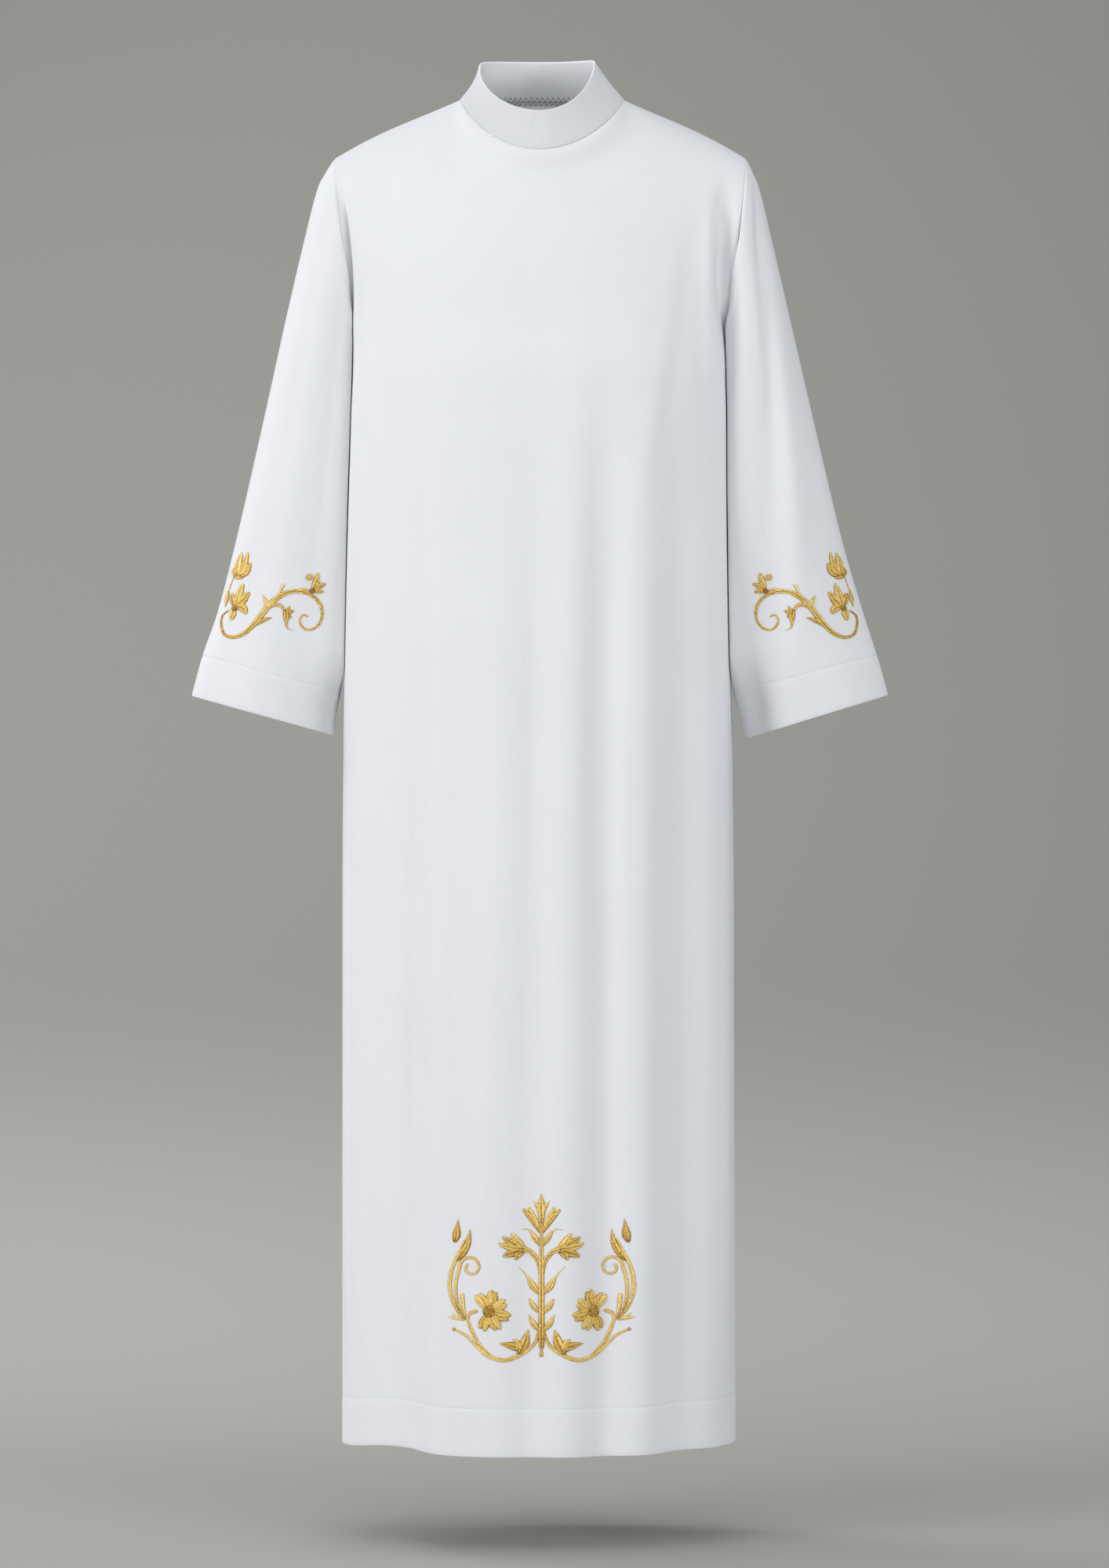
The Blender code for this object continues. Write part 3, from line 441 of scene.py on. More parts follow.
def column(table, name):
    """One named column of a table, as an array."""
    return np.array([getattr(row, name) for row in table])


def smooth_through(at, known, values):
    """A curve through the known values: cubic between each two, its slopes taken from their neighbours."""
    slopes = np.gradient(values, known, axis=0)
    below = np.clip(np.searchsorted(known, at, side="right") - 1, 0, len(known) - 2)
    span = known[below + 1] - known[below]
    f = (at - known[below]) / span
    f, span = (part.reshape(part.shape + (1,) * (values.ndim - 1)) for part in (f, span))
    start, end = values[below], values[below + 1]
    rise = start * (1 + 2 * f) * (1 - f) ** 2 + end * f**2 * (3 - 2 * f)
    lean = span * f * (1 - f) * (slopes[below] * (1 - f) - slopes[below + 1] * f)
    return rise + lean


def ramp(value, low, high):
    """0 below low, 1 above high, with a soft change between."""
    f = np.clip((value - low) / (high - low), 0, 1)
    return f * f * (3 - 2 * f)


def rise_and_fall(value, starts, full, falls, gone):
    """A ramp up from starts to full, and another down from falls to gone."""
    return ramp(value, starts, full) * (1 - ramp(value, falls, gone))


def unit(vectors):
    """The vectors, each divided by its length."""
    return vectors / np.maximum(np.linalg.norm(vectors, axis=-1, keepdims=True), 1e-12)


def bell(distance, width):
    """A soft bump: e to the power of minus the square of distance over width."""
    return np.exp(-((distance / width) ** 2))


def by_side(x, sizes):
    """The right side's size where x is negative, and the left side's elsewhere."""
    return np.where(x < 0, sizes[-1], sizes[1])


def lengths_along(points, axis=0):
    """How far each point lies along its line from the line's first point."""
    steps = np.linalg.norm(np.diff(points, axis=axis), axis=-1)
    start = np.zeros_like(np.take(steps, [0], axis=axis))
    return np.concatenate([start, np.cumsum(steps, axis=axis)], axis=axis)


# Seams that two pieces share

def neck_seam(turn, side):
    """The neck seam: a half ellipse by the front or the back, dipping as a power of how near the middle
    it is."""
    angle = turn * np.pi / 2
    near = np.cos(angle)
    x = by_side(turn, NECK_HALF_WIDTH) * np.sin(angle)
    if side == FRONT:
        return np.stack([x, -NECK_FRONT * near, -NECK_FRONT_DROP * near**NECK_DIP_POWER], axis=-1)
    return np.stack([x, NECK_BACK * near, NECK_BACK_RISE * near], axis=-1)


def shoulder_seam(share, arm):
    """The shoulder seam, from the neck point at share 0 to the shoulder tip at 1, a little rounded."""
    fall = share - SHOULDER_BOW * np.sin(np.pi * share**1.5)
    x = NECK_HALF_WIDTH[arm] + (SHOULDER_TIP[arm] - NECK_HALF_WIDTH[arm]) * share
    return np.stack([arm * x, np.zeros_like(x), -SHOULDER_TIP_DROP * fall], axis=-1)


def top_edge(across, neck_share, side):
    """A panel's top edge: shoulder seam, neck seam, shoulder seam."""
    out = np.clip((np.abs(across) - neck_share) / (1 - neck_share), 0, 1)
    shoulders = np.where(
        (across < 0)[:, None], shoulder_seam(out, RIGHT_ARM), shoulder_seam(out, LEFT_ARM)
    )
    neck = neck_seam(np.clip(across / neck_share, -1, 1), side)
    return np.where((np.abs(across) > neck_share)[:, None], shoulders, neck)


# Body panels

def chest_line(across):
    """How far down the underarm line lies: a power of the place across, deepest in the middle."""
    return UNDERARM_DROP + CHEST_DIP * (1 - np.abs(across) ** CHEST_DIP_POWER)


def section_sizes(drop):
    """The body section's sizes at these drops, on smooth curves through the table."""
    drops = column(BODY_SECTIONS, "drop")
    return {
        name: smooth_through(drop, drops, column(BODY_SECTIONS, name))
        for name in BodySection._fields[1:]
    }


def half_ring(across, drop, side):
    """Half of a body section: sine and cosine of the place across, raised to 2 over the squareness."""
    sizes = section_sizes(drop)
    angle = across * np.pi / 2
    power = 2 / sizes["square"]
    half_width = np.where(across < 0, sizes["right"], sizes["left"])
    depth = sizes["front"] if side == FRONT else sizes["back"]
    x = half_width * np.sign(across) * np.abs(np.sin(angle)) ** power
    y = side * depth * np.clip(np.cos(angle), 0, 1) ** power
    return np.stack([x, y, -drop], axis=-1)


def grid_normals(points, side):
    """Unit normals of an open grid, pointing out of the body."""
    down, right = np.gradient(points, axis=0), np.gradient(points, axis=1)
    return unit(side * np.cross(right, down))


@lru_cache(maxsize=None)
def yoke(side):
    """The panel above the underarm on an even grid: each column is a cubic curve from the top edge to the
    chest section, and the crease below the neck points is then eased out along the normals."""
    name = "front" if side == FRONT else "back"
    count = 2 * SHOULDER_COLUMNS + NECK_COLUMNS[name]
    across, neck_share = np.linspace(-1, 1, count * FINER + 1), NECK_COLUMNS[name] / count
    rows = np.linspace(0, 1, YOKE_ROWS * FINER + 1)
    edge = np.abs(across)
    top = top_edge(across, neck_share, side)
    chest = half_ring(across, chest_line(across), side)
    handle = ARMHOLE_DEPTH * ROUND_HANDLE
    near = np.cos(np.clip(across / neck_share, -1, 1) * np.pi / 2)
    reach = handle - (handle - YOKE_REACH) * near
    fall = YOKE_FALL * np.clip((1 - edge) / (1 - neck_share), 0, 1)
    spread = (chest - top)[:, 0] * (1 - edge)
    leave = top + np.stack([spread, side * reach, -fall], axis=-1)
    forwards = handle * edge**ARMHOLE_TURN_POWER
    upwards = CHEST_REACH * (1 - edge ** (3 * ARMHOLE_TURN_POWER))
    arrive = chest + np.stack([np.zeros_like(edge), side * forwards, upwards], axis=-1)
    t = rows[:, None, None]
    points = (
        top * (1 - t) ** 3
        + 3 * leave * t * (1 - t) ** 2
        + 3 * arrive * t**2 * (1 - t)
        + chest * t**3
    )
    loose = ramp(rows, 0, 0.25)[:, None] * ramp(1 - rows, 0, 0.3)[:, None] * (1 - edge**6)
    for _ in range(YOKE_EASING * FINER**2):
        normals = grid_normals(points, side)[:, 1:-1]
        bend = np.sum(np.diff(points, n=2, axis=1) * normals, axis=-1, keepdims=True)
        points[:, 1:-1] += loose[:, 1:-1, None] * bend * normals / 3
    return points, across, rows, neck_share


def fold_height(x, drop, folds):
    """How far the soft folds stand out of the plain surface: a bell across, a ramp downwards."""
    total = np.zeros_like(x)
    for fold in folds:
        along = np.clip(drop / HEM_DROP, 0, 1)
        centre = fold.across + (fold.across_hem - fold.across) * along
        total += fold.height * bell(x - centre, fold.width) * ramp(drop, fold.starts, fold.full)
    return total


def tuck_height(x, drop, tucks):
    """A short trough: a bell across, rising and falling ramps downwards."""
    total = np.zeros_like(x)
    for tuck in tucks:
        along = rise_and_fall(drop, tuck.starts, tuck.deepest, tuck.deepest, tuck.ends)
        total += tuck.height * bell(x - tuck.across, tuck.width) * along
    return total


def crease_height(x, drop, creases):
    """Fine creases: a bell about a bowed line, fading at both ends, its depth wavering along it."""
    total = np.zeros_like(x)
    for k, crease in enumerate(creases):
        t = np.clip((drop - crease.drop) / (crease.drop_end - crease.drop), 0, 1)
        centre = crease.x + (crease.x_end - crease.x) * t + crease.bow * np.sin(np.pi * t)
        along = rise_and_fall(t, *CREASE_FADES)
        waver = 1 + 0.25 * np.sin(9 * t + 2.3 * k)
        total += crease.height * waver * bell(x - centre, crease.width) * along
    return total


def sewn_height(from_seam, past_hem):
    """What sewing does: a ramp down into a seam, a bell-shaped dip along the hem's stitches, and a ramp up
    below them."""
    pressed = SEAM_PRESS * (1 - ramp(from_seam, 0, SEAM_PRESS_WIDTH))
    dip = STITCH_DIP * bell(past_hem, STITCH_DIP_WIDTH)
    return HEM_PROUD * ramp(past_hem, 0, HEM_PROUD_WIDTH) - pressed - dip


def fullness_height(across, drop):
    """The soft roll of the back panel just behind the left side seam, where the arm lifts the cloth."""
    along = rise_and_fall(drop, *SIDE_FULLNESS_DROPS)
    return SIDE_FULLNESS * bell(across - SIDE_FULLNESS_AT, SIDE_FULLNESS_WIDTH) * along


# A cloth grid: its outer points and their normals, how far each lies across and along the cloth, how
# far from a seam, whether it is doubled by a hem, and the two values that its rows and columns stand for
Cloth = namedtuple("Cloth", "outer normals u v from_seam doubled rows columns")


def even_columns(neck_share):
    """Places across a panel, an even distance apart round its section, closer at the side seams."""
    dense = np.linspace(-1, 1, 4001)
    reached = lengths_along(half_ring(dense, np.full(dense.shape, WAIST_DROP), FRONT))
    close = np.array(SIDE_CLOSE)
    even = np.linspace(0, reached[-1], PANEL_COLUMNS + 1)
    wanted = np.sort(np.concatenate([even, close, reached[-1] - close]))
    across = np.interp(wanted, reached, dense)
    for point in (-neck_share, neck_share):
        across[np.argmin(np.abs(across - point))] = point
    return across, np.interp(across, dense, reached) - reached[-1] / 2


@lru_cache(maxsize=None)
def panel_cloth(side):
    """A body panel's cloth: the yoke's curves, then rows of body sections down to the hem, then the folds,
    creases, seam rolls and the pulled-in line of the hem stitches, all along the plain surface's normals."""
    eased, even_across, even_rows, neck_share = yoke(side)
    across, u = even_columns(neck_share)
    step = even_rows[1]
    yoke_rows = np.sort(np.concatenate([even_rows, step * np.array(YOKE_CLOSE)]))
    upper = smooth_through(yoke_rows, even_rows, eased)
    upper = np.moveaxis(smooth_through(across, even_across, np.moveaxis(upper, 1, 0)), 0, 1)
    upper[0] = top_edge(across, neck_share, side)
    hem_line = HEM_DROP - HEM_DEPTH
    fall = np.linspace(0, 1, SKIRT_ROWS + 1)[1:, None]
    skirt_drops = chest_line(across) * (1 - fall) + (hem_line - ABOVE_HEM) * fall
    even_hem = np.linspace(hem_line + BELOW_HEM, HEM_DROP, HEM_ROWS)
    hem_drops = np.concatenate([hem_line + np.array(HEM_CLOSE), even_hem])[:, None]
    drops = np.concatenate([skirt_drops, hem_drops + np.zeros_like(across)])
    skirt = half_ring(across + np.zeros_like(drops), drops, side)
    plain = np.concatenate([upper, skirt])
    x, drop = plain[..., 0], -plain[..., 2]
    edge = np.abs(across)
    folds, lifts = (FRONT_FOLDS, FRONT_HEM_LIFTS) if side == FRONT else (BACK_FOLDS, BACK_HEM_LIFTS)
    height = fold_height(x, drop, folds) * (1 - ramp(edge, 0.90, 0.99))
    if side == FRONT:
        height += tuck_height(x, drop, FRONT_TUCKS) * (1 - ramp(edge, 0.95, 0.999))
        height += crease_height(x, drop, FRONT_CREASES) * (1 - ramp(edge, 0.95, 0.999))
        inwards, depth, width, trough_drops = ARMHOLE_TROUGH
        trough = bell(lengths_along(plain, axis=1) - inwards, width)
        height += depth * trough * rise_and_fall(drop, *trough_drops)
        out, at, width, corner_drops = FRONT_CORNER
        height += out * bell(edge - at, width) * rise_and_fall(drop, *corner_drops)
    else:
        height += fullness_height(across, drop) * (1 - ramp(edge, 0.93, 0.995))
        height += crease_height(x, drop, BACK_CREASES) * (1 - ramp(edge, 0.95, 0.999))
    v = lengths_along(plain)
    from_side = (u[-1] - np.abs(u))[None, :] + np.zeros_like(v)
    from_seam = np.minimum(from_side, v)
    height += sewn_height(from_seam, drop - hem_line)
    outer = plain + grid_normals(plain, side) * height[..., None]
    lifted = ramp(drop, HEM_DROP - HEM_LIFT_REACH, HEM_DROP)
    for lift in lifts:
        outer[..., 2] += lift.lift * bell(x - lift.across, lift.width) * lifted
    outer[..., 1] += side * SEAM_GAP / 2
    doubled = ramp(drop - hem_line, -DOUBLED_EDGE, DOUBLED_EDGE)
    rows = np.concatenate([yoke_rows, np.arange(1, len(drops) + 1) + 1.0])
    return Cloth(outer, grid_normals(outer, side), u, v - v[-1], from_seam, doubled, rows, across)


# Sleeves

def ring_normals(points):
    """Unit normals of a tube of rings, pointing away from the middle of each ring."""
    wrapped = np.concatenate([points[:, -1:], points, points[:, :1]], axis=1)
    round_it = np.gradient(wrapped, axis=1)[:, 1:-1]
    normals = unit(np.cross(np.gradient(points, axis=0), round_it))
    outwards = np.sum(normals * (points - points.mean(axis=1, keepdims=True)), axis=-1).sum() > 0
    return normals if outwards else -normals


def body_side(points, arm):
    """How far from the middle the body's plain section reaches at these points' height and depth."""
    sizes = section_sizes(-points[..., 2])
    half_width = sizes["right"] if arm == RIGHT_ARM else sizes["left"]
    depth = np.where(points[..., 1] < 0, sizes["front"], sizes["back"])
    share = np.clip(np.abs(points[..., 1]) / depth, 0, 1) ** sizes["square"]
    return half_width * (1 - share) ** (1 / sizes["square"])


def mix_of_four(table, r, c, next_c, f, g):
    """The values f of the way from row r to the next and g of the way from column c to the next."""
    above = table[r, c] * (1 - g) + table[r, next_c] * g
    under = table[r + 1, c] * (1 - g) + table[r + 1, next_c] * g
    return above * (1 - f) + under * f


def between(table, row, place):
    """The table's values at these row and column numbers, linearly between its own."""
    r = np.clip(np.floor(row).astype(int), 0, table.shape[0] - 2)
    c = np.clip(np.floor(place).astype(int), 0, table.shape[1] - 2)
    return mix_of_four(table, r, c, c + 1, np.clip(row - r, 0, 1), np.clip(place - c, 0, 1))


def front_side(points, arm):
    """How far from the middle the front panel's cloth reaches, folds and all, at these points' height and
    depth: its columns are read at even drops, and the lines across them at even depths."""
    cloth = panel_cloth(FRONT)
    columns = np.moveaxis(cloth.outer[:, cloth.columns * arm > BESIDE_SHARE], 1, 0)[::arm]
    drops, depths = np.linspace(*BESIDE_DROPS), np.linspace(*BESIDE_DEPTHS)
    lines = np.array([
        [np.interp(drops, -line[:, 2], part) for part in (arm * line[:, 0], line[:, 1])]
        for line in columns
    ])
    table = np.array([np.interp(depths, lines[:, 1, k], lines[:, 0, k]) for k in range(len(drops))])
    row = (-points[..., 2] - drops[0]) / (drops[1] - drops[0])
    return between(table, row, (points[..., 1] - depths[0]) / (depths[1] - depths[0]))


def armhole_loop(arm):
    """The two panels' armhole edges as one loop, from the shoulder tip down the front and up the back."""
    edge = 0 if arm == RIGHT_ARM else -1
    edges = {}
    for side in (FRONT, BACK):
        cloth = panel_cloth(side)
        even = np.linspace(0, 1, YOKE_ROWS * FINER + 1)
        on_even = np.searchsorted(cloth.rows, even - 1e-9)
        edges[side] = cloth.outer[on_even, edge] + SEAM_PRESS * cloth.normals[on_even, edge]
    return np.concatenate([edges[FRONT][:-1], edges[BACK][:0:-1]])


def degrees_from(middle, degrees):
    """How far round a sleeve each place lies from the middle, the shorter way."""
    return (degrees - middle + 180) % 360 - 180


@lru_cache(maxsize=None)
def sleeve_cloth(arm):
    """A sleeve's cloth: rings with cosine and sine of the turn round a centre line, the first ones eased
    onto the armhole loop, then folds and creases as bells of the turn, all along the normals."""
    table = SLEEVE_RINGS[arm]
    index = np.arange(len(table), dtype=float)
    length = np.hypot(table[-1].outer - table[-2].outer, table[-1].outer_drop - table[-2].outer_drop)
    cuff_line = index[-1] - CUFF_DEPTH / length
    close = np.array((-ABOVE_HEM, *HEM_CLOSE, BELOW_HEM)) / length
    stations = np.concatenate([
        ARMHOLE_CLOSE,
        np.arange(SLEEVE_STEP, cuff_line - ABOVE_CUFF, SLEEVE_STEP),
        cuff_line + close,
        np.linspace(cuff_line + BELOW_CUFF, index[-1], HEM_ROWS),
    ])
    at = {name: smooth_through(stations, index, column(table, name)) for name in SleeveRing._fields}
    turn = np.arange(2 * YOKE_ROWS * FINER) * np.pi / (YOKE_ROWS * FINER)
    outer = np.stack([arm * at["outer"], 0 * stations, -at["outer_drop"]], axis=-1)
    inner = np.stack([arm * at["inner"], 0 * stations, -at["inner_drop"]], axis=-1)
    centre, half = (outer + inner) / 2, (outer - inner) / 2
    reach = np.where(np.sin(turn) > 0, at["front"][:, None], at["back"][:, None])
    rings = centre[:, None] + half[:, None] * np.cos(turn)[None, :, None]
    lies = rise_and_fall(stations, *SLEEVE_RESTS)[:, None]
    against_body = (turn > np.pi / 2) & (turn < np.pi)
    power = 1 - (1 - SLEEVE_SQUARE) * lies * against_body
    rings[..., 1] -= reach * np.sign(np.sin(turn)) * np.abs(np.sin(turn)) ** power
    degrees = np.degrees(turn)
    lies = lies * rise_and_fall(degrees, *SLEEVE_REST_DEGREES)
    rings[..., 0] += lies * (arm * (body_side(rings, arm) + SLEEVE_REST) - rings[..., 0])
    rings += (armhole_loop(arm) - rings[0]) * (1 - ramp(stations, 0, ARMHOLE_EASE_RINGS))[:, None, None]
    height = np.zeros(rings.shape[:2])
    for fold in SLEEVE_FOLDS[arm]:
        middle = fold.degrees + (fold.degrees_end - fold.degrees) * (stations / index[-1])[:, None]
        down = ramp(stations, fold.starts, fold.full)[:, None]
        height += fold.height * down * bell(degrees_from(middle, degrees), fold.width)
    for crease in SLEEVE_CREASES[arm]:
        t = np.clip((stations - crease.ring) / (crease.ring_end - crease.ring), 0, 1)[:, None]
        middle = crease.degrees + (crease.degrees_end - crease.degrees) * t
        across = bell(degrees_from(middle, degrees), crease.width)
        height += crease.height * across * rise_and_fall(t, *CREASE_FADES)
    out, at_degrees, width, roll_rings = SLEEVE_ROLL
    rolls = rise_and_fall(stations, *roll_rings)[:, None]
    height += out * bell(degrees - at_degrees, width) * rolls
    v = lengths_along(rings)
    beyond = (stations - cuff_line)[:, None] * length
    height += sewn_height(v, beyond)
    tube = rings + ring_normals(rings) * height[..., None]
    within = np.clip(front_side(tube, arm) + SLEEVE_REST - arm * tube[..., 0], 0, None)
    heeded = (tube[..., 1] < BESIDE_SEAM) * ramp(stations, *BESIDE_EASE)[:, None]
    tube[..., 0] += arm * within * heeded
    tube[0] += unit(tube[1] - tube[0]) * SEAM_GAP
    girth = rings[SLEEVE_GIRTH_RING]
    round_it = lengths_along(np.concatenate([girth, girth[:1]]))
    doubled = ramp(beyond, -DOUBLED_EDGE, DOUBLED_EDGE) + np.zeros_like(v)
    return Cloth(tube, ring_normals(tube), round_it, v - v[-1], v, doubled, stations, turn)


# Collar

def collar_rim(turn, side):
    """The rim: a half ellipse that rises as a power of how near the middle of the front or back it is."""
    angle = turn * np.pi / 2
    near = np.cos(angle)
    side_rise = (RIM_SIDE_RISE[1] + RIM_SIDE_RISE[-1]) / 2 + np.sin(angle) * (
        RIM_SIDE_RISE[1] - RIM_SIDE_RISE[-1]
    ) / 2
    x = by_side(turn, RIM_HALF_WIDTH) * np.sin(angle)
    if side == FRONT:
        z = side_rise - (side_rise + RIM_FRONT_DROP) * near**RIM_DIP_POWER
        return np.stack([x, -RIM_FRONT * near, z], axis=-1)
    z = side_rise + (RIM_BACK_RISE - side_rise) * near**RIM_BACK_POWER
    return np.stack([x, RIM_BACK * near, z], axis=-1)


# Little waves of the collar band: place round it in metres from its middle front, height and width. Up
# the band each follows this part of a half sine.
COLLAR_WAVE_REACH = 0.85
COLLAR_WAVES = (
    (-0.012, 0.0006, 0.0045),
    (0.001, -0.0007, 0.0040),
    (0.011, 0.0005, 0.0040),
    (0.060, -0.0005, 0.0080),
    (-0.070, -0.0005, 0.0090),
    (-0.135, 0.0006, 0.0100),
    (0.190, -0.0006, 0.0100),
)


@lru_cache(maxsize=None)
def collar_band():
    """The band's middle surface from its neck seam up to the rim, round from the opening in the left
    shoulder by the front, the right shoulder and the back: a blend of the seam and the rim."""
    front_turns = np.linspace(1, -1, NECK_COLUMNS["front"] * FINER + 1)
    back_turns = np.linspace(-1, 1, NECK_COLUMNS["back"] * FINER + 1)[1:]
    foot = np.concatenate([neck_seam(front_turns, FRONT), neck_seam(back_turns, BACK)])
    rim = np.concatenate([collar_rim(front_turns, FRONT), collar_rim(back_turns, BACK)])
    flare = by_side(np.concatenate([front_turns, back_turns]), COLLAR_FLARE)
    rows = np.linspace(0, 1, COLLAR_ROWS + 1)[:, None]
    inwards = np.repeat((rows + flare * np.sin(np.pi * rows))[..., None], 3, axis=-1)
    inwards[..., 2] = rows
    band = foot + (rim - foot) * inwards
    round_it, up = np.gradient(band, axis=1), np.gradient(band, axis=0)
    normals = unit(np.cross(round_it, up))
    if np.sum(normals * (band - band.mean(axis=1, keepdims=True))) < 0:
        normals = -normals
    u = lengths_along(band[COLLAR_ROWS // 2])
    from_front = u - u[NECK_COLUMNS["front"] * FINER // 2]
    waves = sum(height * bell(from_front - place, width) for place, height, width in COLLAR_WAVES)
    band = band + normals * (waves * np.sin(np.pi * rows * COLLAR_WAVE_REACH))[..., None]
    v = lengths_along(band)
    return Cloth(band, normals, u, v, v, np.ones_like(v), rows[:, 0], u)


# Shells

def arc_between(start, end, beyond, count=4):
    """Points of a half turn from start to end that stands out by beyond: cosine and sine of its angle."""
    angles = np.pi * (np.arange(count) + 1) / (count + 1)
    middle, half = (start + end) / 2, (start - end) / 2
    return [middle + half * np.cos(a) + beyond * np.sin(a) for a in angles]


def shell_rows(outer, inner, round_top, round_bottom):
    """One closed loop of rows: down the outside, round the lower edge, up the inside, round the upper edge.
    The rows mirror each other, so that row k lies behind row N-1-k."""
    half = np.linalg.norm(outer - inner, axis=-1, keepdims=True) / 2
    below = unit(outer[-1] - outer[-2]) * half[-1] * round_bottom
    above = unit(outer[0] - outer[1]) * half[0] * round_top
    bottom = arc_between(outer[-1], inner[-1], below)
    top = arc_between(inner[0], outer[0], above)
    return np.stack([*top[2:], *outer, *bottom, *inner[::-1], *top[:2]])


def cloth_shell(name, cloth, inner, closed, round_top=0.0, round_bottom=1.0, tones=None):
    """A closed shell on a cloth grid, with its UV map in metres of cloth, and where tones are given, one
    tone of painted shade outside and another of painted light inside and on its edges."""
    rows = shell_rows(cloth.outer, inner, round_top, round_bottom)
    count, columns = rows.shape[:2]
    v = np.concatenate([
        cloth.v[[0, 0]], cloth.v, cloth.v[[-1] * 4], cloth.v[::-1], cloth.v[[0, 0]],
    ])
    index = np.arange(count * columns).reshape(count, columns)
    u = cloth.u
    if closed:
        index = np.concatenate([index, index[:, :1]], axis=1)
        v = np.concatenate([v, v[:, :1]], axis=1)
    index = np.concatenate([index, index[:1]])
    v = np.concatenate([v, v[:1]])
    uv = np.stack([u + np.zeros_like(v), v], axis=-1)
    corners = [(slice(None, -1), slice(None, -1)), (slice(1, None), slice(None, -1)),
               (slice(1, None), slice(1, None)), (slice(None, -1), slice(1, None))]
    faces = [np.stack([index[c] for c in corners], axis=-1).reshape(-1, 4)]
    face_uv = [np.stack([uv[c] for c in corners], axis=-2).reshape(-1, 2)]
    if not closed:
        k = np.arange(count // 2 - 1)
        for end in (0, -1):
            cap = [(k, end), (k + 1, end), (count - 2 - k, end), (count - 1 - k, end)]
            faces.append(np.stack([index[c] for c in cap], axis=-1))
            face_uv.append(np.stack([uv[c] for c in cap], axis=-2).reshape(-1, 2))
    tone = None
    if tones:
        # The outside rows get the painted shade tone; the inside and edge rows get the painted light tone
        outside, elsewhere = tones
        tone = np.full((count, columns), elsewhere)
        tone[:2 + len(cloth.outer)] = outside
        tone = tone.ravel()
    return piece_from_grid(name, rows.reshape(-1, 3), np.concatenate(faces), np.concatenate(face_uv), tone)


def piece_from_grid(name, points, faces, face_uv, tone=None):
    """A mesh object of these faces, its doubles merged and its faces turned outwards."""
    mesh = bpy.data.meshes.new(name)
    mesh.from_pydata(points.tolist(), [], faces.tolist())
    layer = mesh.uv_layers.new(name="cloth")
    layer.data.foreach_set("uv", face_uv.astype(np.float32).ravel())
    if tone is not None:
        attribute = mesh.attributes.new("tone", "FLOAT", "POINT")
        attribute.data.foreach_set("value", tone.astype(np.float32))
    work = bmesh.new()
    work.from_mesh(mesh)
    bmesh.ops.remove_doubles(work, verts=work.verts, dist=1e-7)
    bmesh.ops.recalc_face_normals(work, faces=work.faces)
    work.to_mesh(mesh)
    work.free()
    mesh.shade_smooth()
    piece = bpy.data.objects.new(name, mesh)
    bpy.context.scene.collection.objects.link(piece)
    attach(piece, "root")
    return piece


def dress_node(piece, node, material):
    """The piece stands for its solid: it gets its material, and the solid is hidden."""
    piece.data.materials.append(material)
    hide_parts(node)


def thickness_at(cloth, sizes):
    """Plain cloth, doubled at the hem, and thinner where it is pressed into a seam."""
    plain = sizes.cloth + (sizes.hem - sizes.cloth) * cloth.doubled
    return plain - (plain - PRESSED_CLOTH) * (1 - ramp(cloth.from_seam, 0, SEAM_PRESS_WIDTH))


def make_panel(scene, side):
    """A body panel's shell: its cloth, and the same moved in by its thickness."""
    cloth = panel_cloth(side)
    inner = cloth.outer - cloth.normals * thickness_at(cloth, scene.alb_sizes)[..., None]
    name = PANEL_NODES[side]
    piece = cloth_shell(name + "_shell", cloth, inner, closed=False)
    dress_node(piece, name, cloth_material(scene.alb_colours))
    return piece


def make_sleeve(scene, arm):
    """A sleeve's shell: its cloth, and the same moved in by its thickness."""
    cloth = sleeve_cloth(arm)
    inner = cloth.outer - cloth.normals * thickness_at(cloth, scene.alb_sizes)[..., None]
    name = SLEEVE_NODES[arm]
    piece = cloth_shell(name + "_shell", cloth, inner, closed=True)
    dress_node(piece, name, cloth_material(scene.alb_colours))
    return piece


def make_collar(scene):
    """The band stands a little proud of the panels, is turned over at its rim, and its two ends meet."""
    band = collar_band()
    thickness = scene.alb_sizes.collar
    outer = band.outer + band.normals * COLLAR_PROUD
    inner = band.outer - band.normals * (thickness - COLLAR_PROUD)
    up = unit(band.outer[1] - band.outer[0])
    for face in (outer, inner):
        face[0] += up * 2 * SEAM_GAP
        face[:, 0, 1] = np.minimum(face[:, 0, 1], -COLLAR_SLIT / 2)
        face[:, -1, 1] = np.maximum(face[:, -1, 1], COLLAR_SLIT / 2)
    # Painted shade on the collar's outside, and painted light on its inside and rim
    tones = (scene.alb_colours.collar, scene.alb_colours.collar_inside_painted_light)
    piece = cloth_shell("collar_shell", band._replace(outer=outer), inner, False, 0.7, 1.0, tones)
    dress_node(piece, "collar", cloth_material(scene.alb_colours, "stand_collar_weave", "tone"))
    return piece


def row_down_cloth(points, normals, distance):
    """A row of points that far down each column of the cloth, with the normals there."""
    reached = lengths_along(points)
    spots = []
    for column_points, column_normals, along in zip(
        np.moveaxis(points, 1, 0), np.moveaxis(normals, 1, 0), reached.T
    ):
        spots.append([np.interp(distance, along, part) for part in (*column_points.T, *column_normals.T)])
    spots = np.array(spots)
    return spots[:, :3], unit(spots[:, 3:])


